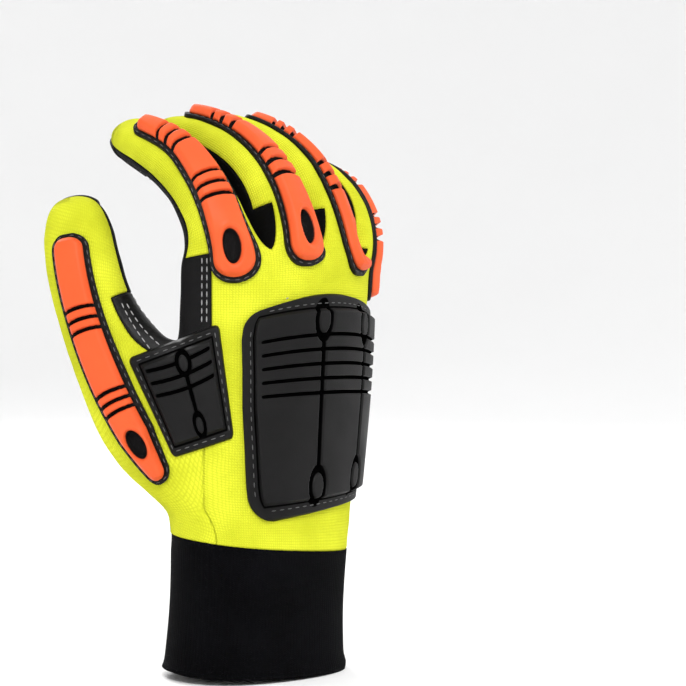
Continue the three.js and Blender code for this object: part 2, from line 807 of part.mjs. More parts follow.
function fromManifold(solid) {
  const { vertProperties, triVerts } = solid.getMesh();
  const geometry = new THREE.BufferGeometry();
  geometry.setAttribute('position', new THREE.BufferAttribute(vertProperties, 3));
  geometry.setIndex(new THREE.BufferAttribute(triVerts, 1));
  return geometry;
}

// Guards on the fingers and the thumb: each is a strip laid along a spine and wrapped round it
class Guard {
  constructor({ name, form, spine, roll, from, to, width }) {
    Object.assign(this, { name, form, spine, roll, from, to, width });
  }

  // A place across the guard: arc is measured round a centre that lies well under the guard's middle
  cell(along, arc, low, high) {
    const frame = this.spine.at(this.from + (this.to - this.from) * along, this.roll);
    const middle = onGlove(frame.place, frame.back);
    const radius = Math.max(middle.distanceTo(frame.place), FINGER_DEPTH / 2);
    const centre = middle.clone().addScaledVector(frame.back, -radius);
    const angle = arc / radius;
    const outward = frame.back.clone().multiplyScalar(Math.cos(angle));
    outward.addScaledVector(frame.side, Math.sin(angle));
    const place = onGlove(centre, outward);
    return { place, outward, low, high };
  }

  halfAt(along) {
    return (between(this.form.outline, 'at', 'half', along) * this.width) / 2;
  }

  // The base strip, or with a margin the room that it takes up
  strip(margin) {
    const rows = this.form.outline.map((row) => row.at).concat([0.2, 0.3, 0.5, 0.8]);
    rows.sort((a, b) => a - b);
    const high = SEAT_GAP + GUARD_BASE_THICKNESS + margin;
    return slab(rows.map((along) => [-1, -0.5, 0.5, 1].map((share) => (
      this.cell(along, share * (this.halfAt(along) + margin), -SUNK, high)
    ))));
  }

  base() {
    return fromManifold(seated(this.strip(0), bulk));
  }

  // The raised part, cut down to a thin skin at each groove
  raised() {
    const length = this.spine.length * (this.to - this.from);
    const groove = GUARD_GROOVE / length;
    const margin = GUARD_BORDER / length;
    const rows = [0, 0.04, 0.15, 0.28].map((along) => ({ along, height: GUARD_RAISE }));
    this.form.grooves.forEach((middle) => {
      rows.push({ along: middle - groove, height: GUARD_RAISE });
      rows.push({ along: middle, height: GUARD_SKIN });
      rows.push({ along: middle + groove, height: GUARD_RAISE });
    });
    rows.push({ along: 0.6, height: GUARD_RAISE });
    rows.push({ along: 0.92, height: GUARD_RAISE * 0.9 });
    rows.push({ along: 0.99, height: GUARD_RAISE * 0.6 });
    rows.sort((a, b) => a.along - b.along);
    const seat = SEAT_GAP + GUARD_BASE_THICKNESS + SEAT_EASE;
    const columns = [-1, -0.5, 0.5, 1];
    const grid = rows.map(({ along, height }) => {
      const inside = margin + along * (1 - 2 * margin);
      const half = Math.max(this.halfAt(inside) - GUARD_BORDER, GUARD_BORDER / 2);
      return columns.map((share) => {
        const edge = Math.abs(share) === 1;
        const high = seat + (edge ? Math.max(GUARD_SKIN, height * 0.72) : height);
        return this.cell(inside, share * half, seat, high);
      });
    });
    const under = toManifold(this.strip(SEAM_GAP)).add(bulk);
    return fromManifold(seated(slab(grid), under, toManifold(this.window())));
  }

  // An oval prism through the raised part near its wide end
  window() {
    const { place, outward } = this.cell(this.form.window, 0, 0, 0);
    const ahead = this.cell(this.form.window + 0.02, 0, 0, 0).place.sub(place).normalize();
    const oval = new THREE.Shape().absellipse(0, 0, WINDOW_LENGTH / 2, WINDOW_WIDTH / 2, 0, 2 * Math.PI);
    const prism = new THREE.ExtrudeGeometry(oval, {
      depth: 6 * GUARD_RAISE, bevelEnabled: false, curveSegments: 5,
    });
    prism.translate(0, 0, -2 * GUARD_RAISE);
    const side = new THREE.Vector3().crossVectors(outward, ahead).normalize();
    const facing = new THREE.Matrix4().makeBasis(ahead, side, outward.clone().normalize());
    return prism.applyMatrix4(facing.setPosition(place));
  }
}
const guards = FINGERS.map((finger) => new Guard({
  name: finger.name,
  form: FINGER_GUARD,
  spine: fingerSpines.get(finger.name),
  roll: finger.roll,
  from: 0,
  to: finger.guard,
  width: GUARD_WIDTH * finger.width,
}));
guards.push(new Guard({
  name: 'thumb',
  form: THUMB_GUARD,
  spine: thumbSpine,
  roll: THUMB_GUARD_ROLL,
  from: THUMB_GUARD_FROM,
  to: THUMB.guard,
  width: GUARD_WIDTH * THUMB_GUARD_WIDTH,
}));

// Places round one side of the hand: an arc from the middle of the back or of the palm, and a height
class HandSide {
  constructor(facing) {
    const step = PALM_HEIGHT / 20;
    this.rows = [];
    for (let z = CUFF_HEIGHT + step; z < CUFF_HEIGHT + PALM_HEIGHT; z += step) {
      this.rows.push({ z, stops: this.stopsAt(z, facing) });
    }
  }

  stopsAt(z, facing) {
    const rows = PALM_SECTIONS.map((row) => ({
      z: CUFF_HEIGHT + row.up * PALM_HEIGHT,
      x: row.shift * PALM_WIDTH,
      y: (row.sink + row.arch * 0.4) * PALM_DEPTH,
    }));
    const middle = new THREE.Vector3(between(rows, 'z', 'x', z), between(rows, 'z', 'y', z), z);
    const stops = [];
    for (const way of [-1, 1]) {
      let last = null;
      let arc = 0;
      for (let degrees = 0; degrees <= 108; degrees += 6) {
        const angle = radians(way * degrees);
        const outward = new THREE.Vector3(Math.sin(angle) * facing, -Math.cos(angle) * facing, 0);
        const place = onGlove(middle, outward);
        if (last) arc += place.distanceTo(last);
        last = place;
        stops.push({ arc: way * arc, place, outward });
      }
    }
    return stops.sort((a, b) => a.arc - b.arc);
  }

  onRow(stops, arc) {
    const found = stops.findIndex((stop) => stop.arc > arc);
    const next = Math.min(Math.max(found < 0 ? stops.length - 1 : found, 1), stops.length - 1);
    const [a, b] = [stops[next - 1], stops[next]];
    const mix = (arc - a.arc) / (b.arc - a.arc || 1);
    return {
      place: a.place.clone().lerp(b.place, mix),
      outward: a.outward.clone().lerp(b.outward, mix),
    };
  }

  at(arc, z) {
    const found = this.rows.findIndex((row) => row.z > z);
    const next = Math.min(Math.max(found < 0 ? this.rows.length - 1 : found, 1), this.rows.length - 1);
    const [low, high] = [this.rows[next - 1], this.rows[next]];
    const mix = (z - low.z) / (high.z - low.z);
    const [a, b] = [this.onRow(low.stops, arc), this.onRow(high.stops, arc)];
    const outward = a.outward.lerp(b.outward, mix).normalize();
    return { place: a.place.lerp(b.place, mix), outward };
  }
}
const handBack = new HandSide(1);
const handPalm = new HandSide(-1);

function backPad() {
  const border = PAD_BORDER / PAD_HEIGHT;
  const groove = PAD_GROOVE / PAD_HEIGHT;
  const edge = border * 0.85;
  const downs = [0, 0.02, edge, border, 0.53, 0.65, 0.77, 0.87, 1 - border, 1 - edge, 0.98, 1];
  PAD_GROOVES.forEach((middle) => downs.push(middle - groove, middle, middle + groove));
  downs.sort((a, b) => a - b);
  const shares = [0, 0.075, 0.095, 0.28, 0.5, 0.72, 0.905, 0.925, 1];
  const inside = (value, rim) => value > rim && value < 1 - rim;
  const grid = downs.map((down) => {
    const left = between(PAD_OUTLINE, 'down', 'left', down) * PAD_WIDTH;
    const right = between(PAD_OUTLINE, 'down', 'right', down) * PAD_WIDTH;
    return shares.map((share) => {
      const brow = PAD_BROW * (2 * share - 1) ** 2 * Math.max(0, 1 - 2 * down);
      const rise = PAD_LOWER_RISE * share * Math.max(0, 2 * down - 1);
      const top = CUFF_HEIGHT + PAD_TOP * PALM_HEIGHT;
      const { place, outward } = handBack.at(
        left + share * (right - left), top - (down + brow - rise) * PAD_HEIGHT,
      );
      const raised = inside(down, border * 0.9) && inside(share, 0.085);
      const grooved = PAD_GROOVES.some((middle) => Math.abs(down - middle) < groove / 2);
      const height = PAD_THICKNESS + (raised && !grooved ? PAD_RAISE : 0);
      return { place, outward, low: -SUNK, high: SEAT_GAP + height };
    });
  });
  return fromManifold(seated(slab(grid), bulk));
}

function webGuard() {
  const facing = radians(WEB_GUARD_FACING);
  const outward = new THREE.Vector3(Math.sin(facing), -Math.cos(facing), 0);
  const right = new THREE.Vector3(Math.cos(facing), Math.sin(facing), 0);
  const centre = startOf(WEB_GUARD_CENTRE);
  const { topLeft, topRight, bottomRight, bottomLeft } = WEB_GUARD_CORNERS;
  const mix = (a, b, share) => a.map((value, k) => value + share * (b[k] - value));
  const edge = WEB_GUARD_RIM * 0.85;
  const downs = [0, edge, WEB_GUARD_RIM, 0.6, 0.78, 1 - WEB_GUARD_RIM, 1 - edge, 1];
  WEB_GUARD_GROOVES.forEach((middle) => (
    downs.push(middle - WEB_GUARD_GROOVE, middle, middle + WEB_GUARD_GROOVE)
  ));
  downs.sort((a, b) => a - b);
  const shares = [0, edge, WEB_GUARD_RIM, 0.36, 0.64, 1 - WEB_GUARD_RIM, 1 - edge, 1];
  const inside = (value) => value > WEB_GUARD_RIM * 0.9 && value < 1 - WEB_GUARD_RIM * 0.9;
  const grid = downs.map((down) => {
    const left = mix(topLeft, bottomLeft, down);
    const end = mix(topRight, bottomRight, down);
    return shares.map((share) => {
      const [across, up] = mix(left, end, share);
      const from = centre.clone()
        .addScaledVector(outward, PALM_WIDTH)
        .addScaledVector(right, across * WEB_GUARD_WIDTH)
        .addScaledVector(Z, up * WEB_GUARD_HEIGHT);
      const place = onGlove(from, outward.clone().negate());
      const raised = inside(down) && inside(share);
      const grooved = WEB_GUARD_GROOVES.some((middle) => Math.abs(down - middle) < WEB_GUARD_GROOVE / 2);
      const height = WEB_GUARD_THICKNESS + (raised && !grooved ? WEB_GUARD_RAISE : 0);
      return { place, outward, low: -SUNK, high: SEAT_GAP + height };
    });
  });
  return fromManifold(seated(slab(grid), bulk));
}

function palmPatch(columns) {
  const grid = columns.map(({ arc, top, bottom }) => PALM_PATCH_ROWS.map((down) => {
    const z = CUFF_HEIGHT + (top + down * (bottom - top)) * PALM_HEIGHT;
    const { place, outward } = handPalm.at(arc * PALM_WIDTH, z);
    return { place, outward, low: -SUNK, high: SEAT_GAP + PALM_PATCH_THICKNESS };
  }));
  return fromManifold(seated(slab(grid), bulk));
}

// Which piece of the shell a face of the hand belongs to
const FINGER_NAMES = FINGERS.map((finger) => finger.name);
const WEB_PATCH_ROWS = 3;

function shellPiece({ part, row, column }) {
  if (part === 'hand') {
    const thumbSide = column === 0 || column === AROUND - 1;
    if (thumbSide) return row < THUMB_FOOT ? 'thumb_cloth' : 'palm_leather';
    return column <= ACROSS ? 'back_cloth' : 'palm_leather';
  }
  if (part === 'thumb') {
    if (row < WEB_PATCH_ROWS && (column === 2 || column === 3)) return 'web_patch';
    return [0, 1, 2, 6, 7].includes(column) ? 'thumb_cloth' : 'palm_leather';
  }
  const finger = FINGER_NAMES.indexOf(part);
  const tip = row === FINGER_SECTIONS.length;
  if (finger > 0 && column === 7 && row === 0) return `fourchette_${finger}`;
  if ([0, 1, 7].includes(column)) return 'back_cloth';
  if (tip || column === 4 || column === 5) return 'palm_leather';
  if (column === 6) return finger === 0 ? 'palm_leather' : `fourchette_${finger}`;
  if (finger === FINGERS.length - 1) return column === 2 ? 'back_cloth' : 'palm_leather';
  return `fourchette_${finger + 1}`;
}

// Leather over the palm side of a fingertip or of the thumb's tip
function tipPatch(part) {
  const sections = part === 'thumb' ? THUMB_SECTIONS : FINGER_SECTIONS;
  const chosen = (tag) => (
    tag.part === part && tag.row > sections.length - 2 && [4, 5].includes(tag.column)
  );
  return wallOver(hand, chosen, SEAM_GAP, SEAM_GAP + TIP_PATCH_THICKNESS, TIP_PATCH_INSET);
}

const glove = new THREE.Group();

function addPiece(name, geometry, look) {
  const mesh = new THREE.Mesh(geometry, new THREE.MeshStandardMaterial(PIECE_COLOURS[look]));
  mesh.name = name;
  glove.add(mesh);
}

const half = SEAM_GAP / 2;
addPiece('cuff', wallOver(cuff, () => true, -KNIT_WALL, 0, half), 'blackKnit');
const shells = [
  { name: 'back_cloth', wall: CLOTH_WALL, look: 'yellowCloth' },
  { name: 'thumb_cloth', wall: CLOTH_WALL, look: 'yellowCloth' },
  { name: 'palm_leather', wall: LEATHER_WALL, look: 'blackLeather' },
  { name: 'web_patch', wall: LEATHER_WALL, look: 'blackLeather' },
  { name: 'fourchette_1', wall: CLOTH_WALL, look: 'blackCloth' },
  { name: 'fourchette_2', wall: CLOTH_WALL, look: 'blackCloth' },
  { name: 'fourchette_3', wall: CLOTH_WALL, look: 'blackCloth' },
];
for (const { name, wall, look } of shells) {
  addPiece(name, wallOver(hand, (tag) => shellPiece(tag) === name, -wall, 0, half), look);
}

for (const guard of guards) {
  addPiece(`${guard.name}_guard_base`, guard.base(), 'blackRubber');
  addPiece(`${guard.name}_guard`, guard.raised(), 'orangeRubber');
}
addPiece('back_pad', backPad(), 'blackRubber');
addPiece('web_guard', webGuard(), 'blackRubber');
addPiece('palm_patch_upper', palmPatch(PALM_PATCHES.upper), 'blackLeather');
addPiece('palm_patch_lower', palmPatch(PALM_PATCHES.lower), 'blackLeather');
for (const part of [...FINGER_NAMES, 'thumb']) {
  addPiece(`${part}_tip_patch`, tipPatch(part), 'blackLeather');
}

export default glove;
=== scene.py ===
"""Dresses the impact glove: knit, leather, moulded guards, stitches, floor, light and camera."""

import json
import logging
import math
from dataclasses import dataclass
from enum import Enum
from typing import Callable, Sequence

import bmesh
import bpy
from bmesh.types import BMesh, BMFace, BMVert
from mathutils import Matrix, Vector, noise
from mathutils.bvhtree import BVHTree

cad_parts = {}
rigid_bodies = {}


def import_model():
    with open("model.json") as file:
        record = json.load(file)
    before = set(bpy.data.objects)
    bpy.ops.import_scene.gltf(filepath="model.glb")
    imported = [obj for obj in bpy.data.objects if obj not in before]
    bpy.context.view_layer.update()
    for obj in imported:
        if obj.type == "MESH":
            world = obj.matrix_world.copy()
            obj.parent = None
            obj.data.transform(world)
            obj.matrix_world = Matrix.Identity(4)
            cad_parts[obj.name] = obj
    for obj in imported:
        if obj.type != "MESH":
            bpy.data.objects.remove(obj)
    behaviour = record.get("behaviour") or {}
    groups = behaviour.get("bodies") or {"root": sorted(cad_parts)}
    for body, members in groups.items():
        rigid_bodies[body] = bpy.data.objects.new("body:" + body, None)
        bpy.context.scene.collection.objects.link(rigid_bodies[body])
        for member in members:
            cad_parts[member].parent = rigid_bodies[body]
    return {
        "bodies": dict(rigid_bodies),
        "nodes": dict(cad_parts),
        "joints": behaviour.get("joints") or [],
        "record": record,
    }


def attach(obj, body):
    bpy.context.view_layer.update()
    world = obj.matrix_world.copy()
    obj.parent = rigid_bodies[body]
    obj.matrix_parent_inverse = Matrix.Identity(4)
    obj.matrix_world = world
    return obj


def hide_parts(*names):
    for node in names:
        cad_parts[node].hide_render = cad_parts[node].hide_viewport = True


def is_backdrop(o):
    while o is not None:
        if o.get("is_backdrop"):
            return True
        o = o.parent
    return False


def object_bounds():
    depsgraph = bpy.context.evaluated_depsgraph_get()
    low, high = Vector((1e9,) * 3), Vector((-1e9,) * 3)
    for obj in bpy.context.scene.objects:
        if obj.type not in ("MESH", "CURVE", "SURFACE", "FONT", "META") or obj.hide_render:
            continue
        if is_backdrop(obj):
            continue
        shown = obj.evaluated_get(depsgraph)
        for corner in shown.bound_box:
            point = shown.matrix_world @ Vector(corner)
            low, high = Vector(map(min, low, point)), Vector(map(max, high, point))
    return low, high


LOG = logging.getLogger("glove")
MM = 0.001

# Sizes of the glove in millimetres, the same as in the solids
CUFF_HEIGHT, CUFF_WIDTH, CUFF_DEPTH = 53.0, 81.0, 55.0
PALM_HEIGHT, PALM_WIDTH, PALM_DEPTH = 113.0, 100.0, 54.0
FINGER_LENGTH, FINGER_WIDTH, FINGER_DEPTH = 103.0, 28.0, 24.0
THUMB_LENGTH, THUMB_WIDTH, THUMB_DEPTH = 136.0, 37.0, 29.0

ACROSS = 9
AROUND = 2 * ACROSS + 2
REACH_ACROSS = 0.86
SECTION_POWER = 2.3
CORNER = 0.8
RING_OF_EIGHT = (
    (-CORNER, CORNER), (0, 1), (CORNER, CORNER), (1, 0),
    (CORNER, -CORNER), (0, -1), (-CORNER, -CORNER), (-1, 0),
)
TIP_FACES = (((7, 0, 1), 0), ((1, 2, 3), 1), ((3, 4, 5), 4), ((5, 6, 7), 5))
FINE_LEVELS = 4


class Part(Enum):
    """Which part of the hand a face of the cage belongs to."""

    CUFF = "cuff"
    HAND = "hand"
    THUMB = "thumb"
    INDEX = "index"
    MIDDLE = "middle"
    RING = "ring"
    LITTLE = "little"


@dataclass(frozen=True)
class CuffSection:
    """One ring of the cuff: shares of the cuff's sizes and the ring's tilt."""

    up: float
    shift: float
    width: float
    depth: float
    tilt_x: float
    tilt_y: float


@dataclass(frozen=True)
class PalmSection:
    """One ring of the hand: shares of the palm's sizes."""

    up: float
    shift: float
    sink: float
    half: float
    back: float
    palm: float
    arch: float


@dataclass(frozen=True)
class Bend:
    """Where a finger bends and over what share of its length."""

    at: float
    over: float


@dataclass(frozen=True)
class TubeSection:
    """One ring of a finger or of the thumb."""

    at: float
    width: float
    depth: float
    roll: float = 0.0
    lean: float = 0.0
    shift: float = 0.0


@dataclass(frozen=True)
class Finger:
    """Start, lie and sizes of a finger."""

    part: Part
    x: float
    y: float
    z: float
    splay: float
    turn: float
    bend: tuple[float, float, float]
    sway: float
    roll: float
    length: float
    width: float
    depth: float
    guard: float
    tilt: float = 0.0


CUFF_SECTIONS = (
    CuffSection(0.035, -0.02, 1.03, 1.01, -0.04, 0.04),
    CuffSection(0.5, -0.005, 0.975, 0.96, -0.05, 0.045),
    CuffSection(1.0, 0.01, 1.0, 1.0, -0.09, 0.07),
)
PALM_SECTIONS = (
    PalmSection(0.1, 0.025, 0.0, 0.42, 0.48, 0.52, 0.02),
    PalmSection(0.35, 0.065, -0.03, 0.45, 0.41, 0.5, 0.075),
    PalmSection(0.63, 0.105, -0.075, 0.48, 0.35, 0.39, 0.165),
    PalmSection(0.8, 0.125, -0.09, 0.49, 0.33, 0.315, 0.22),
    PalmSection(0.96, 0.14, -0.11, 0.5, 0.315, 0.24, 0.26),
)
KNUCKLES = (1.02, 1.05, 1.02, 1.09, 1.035, 1.07, 1.02, 1.0, 0.95)
KNUCKLE_SIDES = (1.0, 0.91)
CROTCHES = (1.0, 1.02, 0.975)
PALM_SIDE_DROP = 0.018
THUMB_FOOT, THUMB_WEB = 1, 3
WEB_LIFT = (0.035, 0.09, 0.035)
FINGERS = (
    Finger(Part.INDEX, -0.205, -0.1, 0.922, 5, 13, (25, 17, 34), -4, -39, 0.96, 1.0, 1.02, 0.82),
    Finger(Part.MIDDLE, 0.026, -0.226, 0.986, 6, 16, (23, 31, 29), 1, -7, 1.0, 0.97, 0.98, 0.83),
    Finger(Part.RING, 0.264, -0.141, 0.974, 12, 22, (20, 32, 25), -4, 20, 0.95, 0.93, 0.96, 0.82),
    Finger(Part.LITTLE, 0.491, 0.024, 0.872, 8, 26, (-1, 29, 42), 10, 53, 0.79, 0.86, 0.92, 0.83),
)
FINGER_BENDS = (Bend(0.066, 0.2), Bend(0.355, 0.18), Bend(0.6, 0.165))
FINGER_SECTIONS = (
    TubeSection(0.22, 0.99, 0.99, 0.55),
    TubeSection(0.46, 0.965, 0.96, 0.95),
    TubeSection(0.72, 0.9, 0.9, 1.0),
    TubeSection(0.93, 0.66, 0.66, 1.0),
)
THUMB = Finger(Part.THUMB, -0.23, 0.27, 0.16, -34, -69, (9, 8, 11), 33, 0, 1, 1, 1, 0.86, tilt=27)
THUMB_BENDS = (Bend(0.2, 0.3), Bend(0.47, 0.25), Bend(0.75, 0.2))
THUMB_SECTIONS = (
    TubeSection(0.34, 1.3, 1.0, lean=0.17, shift=0.1),
    TubeSection(0.5, 1.02, 0.88, lean=0.1, shift=0.1),
    TubeSection(0.62, 0.93, 0.84, lean=0.03, shift=0.09),
    TubeSection(0.76, 0.92, 0.82, shift=0.06),
    TubeSection(0.89, 0.86, 0.74, shift=0.04),
    TubeSection(0.975, 0.58, 0.5, shift=0.03),
)


def mix(a: float, b: float, share: float) -> float:
    """A value between two others."""
    return a + (b - a) * share


def smoothstep(low: float, high: float, value: float) -> float:
    """0 below low, 1 above high, and a soft rise between them."""
    t = min(max((value - low) / (high - low), 0.0), 1.0)
    return t * t * (3 - 2 * t)


def between(rows: Sequence[tuple[float, float]], place: float) -> float:
    """A value read from a short table.

    Args:
        rows: pairs of place and value in rising order.
        place: where the value is wanted.

    Returns:
        The value at that place, softly joined between rows.
    """
    if place <= rows[0][0]:
        return rows[0][1]
    for (a, low), (b, high) in zip(rows, rows[1:]):
        if place <= b:
            return mix(low, high, (place - a) / (b - a))
    return rows[-1][1]


def smooth_between(rows: Sequence[tuple[float, float]], place: float) -> float:
    """A value read from a short table along a smooth curve through its rows.

    Args:
        rows: pairs of place and value in rising order.
        place: where the value is wanted.

    Returns:
        The value at that place.
    """
    k = 0
    while k < len(rows) - 2 and place > rows[k + 1][0]:
        k += 1
    (a, low), (b, high) = rows[k], rows[k + 1]

    def slope(n: int) -> float:
        """The curve's slope at a row."""
        before, after = rows[max(n - 1, 0)], rows[min(n + 1, len(rows) - 1)]
        return (after[1] - before[1]) / (after[0] - before[0])

    t = min(max((place - a) / (b - a), 0.0), 1.0)
    curve = low * (1 + 2 * t) * (1 - t) ** 2 + high * t * t * (3 - 2 * t)
    bend = slope(k) * t * (1 - t) ** 2 - slope(k + 1) * t * t * (1 - t)
    return curve + bend * (b - a)


def hand_ring(x: float, y: float, z: float, half: float, back: float, palm: float,
              arch: float) -> list[Vector]:
    """Places of one ring round the hand.

    Args:
        x, y, z: the middle of the ring.
        half: half its width.
        back, palm: its depth to either side.
        arch: how far its sides lie behind its middle.

    Returns:
        The thumb's side, the back, the little finger's side and the palm, in order.
    """
    spots = [mix(-REACH_ACROSS, REACH_ACROSS, k / (ACROSS - 1)) for k in range(ACROSS)]

    def depth_at(u: float, depth: float) -> float:
        """Depth of the section at a share of its half width."""
        return depth * (1 - abs(u) ** SECTION_POWER) ** (1 / SECTION_POWER)

    ring = [Vector((x - half, y + arch, z))]
    ring += [Vector((x + half * u, y - depth_at(u, back) + arch * u * u, z)) for u in spots]
    ring.append(Vector((x + half, y + arch, z)))
    ring += [Vector((x + half * u, y + depth_at(u, palm) + arch * u * u, z)) for u in reversed(spots)]
    return ring


def cuff_ring(row: CuffSection) -> list[Vector]:
    """Places of one ring of the cuff.

    Args:
        row: the cuff's section.

    Returns:
        The ring's places, in the order of hand_ring.
    """
    half_depth = row.depth * CUFF_DEPTH / 2
    ring = hand_ring(row.shift * CUFF_WIDTH, 0, row.up * CUFF_HEIGHT, row.width * CUFF_WIDTH / 2,
                     half_depth, half_depth, 0)
    for point in ring:
        point.z += row.tilt_x * point.x + row.tilt_y * point.y
    return ring


def palm_ring(row: PalmSection) -> list[Vector]:
    """Places of one ring of the hand.

    Args:
        row: the hand's section.

    Returns:
        The ring's places, in the order of hand_ring.
    """
    return hand_ring(row.shift * PALM_WIDTH, row.sink * PALM_DEPTH, CUFF_HEIGHT + row.up * PALM_HEIGHT,
                     row.half * PALM_WIDTH, row.back * PALM_DEPTH, row.palm * PALM_DEPTH,
                     row.arch * PALM_DEPTH)


def start_of(x: float, y: float, z: float) -> Vector:
    """A place in the hand from shares of the palm's sizes."""
    return Vector((x * PALM_WIDTH, y * PALM_DEPTH, CUFF_HEIGHT + z * PALM_HEIGHT))


@dataclass
class Lie:
    """Place and directions at one spot of a finger's middle line."""

    place: Vector
    along: Vector
    back: Vector
    side: Vector


class Spine:
    """The middle line of a bent finger or of the thumb."""

    STEPS = 80

    def __init__(self, finger: Finger, length: float, bends: Sequence[Bend]) -> None:
        """Walks along the finger and turns at its bends.

        Args:
            finger: where it starts and how it lies.
            length: its length in millimetres.
            bends: where it bends.
        """
        turn = Matrix.Rotation(math.radians(-finger.tilt), 3, "X")
        turn = turn @ Matrix.Rotation(math.radians(finger.splay), 3, "Y")
        turn = turn @ Matrix.Rotation(math.radians(finger.turn), 3, "Z")
        along, back, side = turn @ Vector((0, 0, 1)), turn @ Vector((0, -1, 0)), turn @ Vector((1, 0, 0))
        place = start_of(finger.x, finger.y, finger.z)
        self.length = length
        self.lies = [Lie(place, along, back, side)]
        for step in range(self.STEPS):
            share = (step + 0.5) / self.STEPS
            rate = 0.0
            for bend, angle in zip(bends, finger.bend):
                t = (share - bend.at) / bend.over + 0.5
                if 0 < t < 1:
                    rate += angle * 6 * t * (1 - t) / bend.over
            bend_step = math.radians(rate / self.STEPS)
            sway_step = math.radians(finger.sway / self.STEPS)
            ahead = (along - bend_step * back + sway_step * side).normalized()
            back = back + bend_step * along
            back = (back - back.dot(ahead) * ahead).normalized()
            along = ahead
            side = along.cross(back)
            if side.dot(self.lies[-1].side) < 0:
                side = -side
            place = place + along * (length / self.STEPS)
            self.lies.append(Lie(place, along, back, side))

    def at(self, share: float, roll: float = 0.0) -> Lie:
        """The lie at a share of the length.

        Args:
            share: from 0 to 1, or a little past either end.
            roll: turn about the finger in degrees.

        Returns:
            The place and directions there.
        """
        held = min(max(share, 0.0), 1.0)
        low = min(int(held * self.STEPS), self.STEPS - 1)
        part = held * self.STEPS - low
        a, b = self.lies[low], self.lies[low + 1]
        along = a.along.lerp(b.along, part).normalized()
        place = a.place.lerp(b.place, part) + along * ((share - held) * self.length)
        back = a.back.lerp(b.back, part).normalized()
        side = a.side.lerp(b.side, part).normalized()
        c, s = math.cos(math.radians(roll)), math.sin(math.radians(roll))
        return Lie(place, along, back * c + side * s, side * c - back * s)


FINGER_SPINES = {f.part: Spine(f, f.length * FINGER_LENGTH, FINGER_BENDS) for f in FINGERS}
THUMB_SPINE = Spine(THUMB, THUMB_LENGTH, THUMB_BENDS)


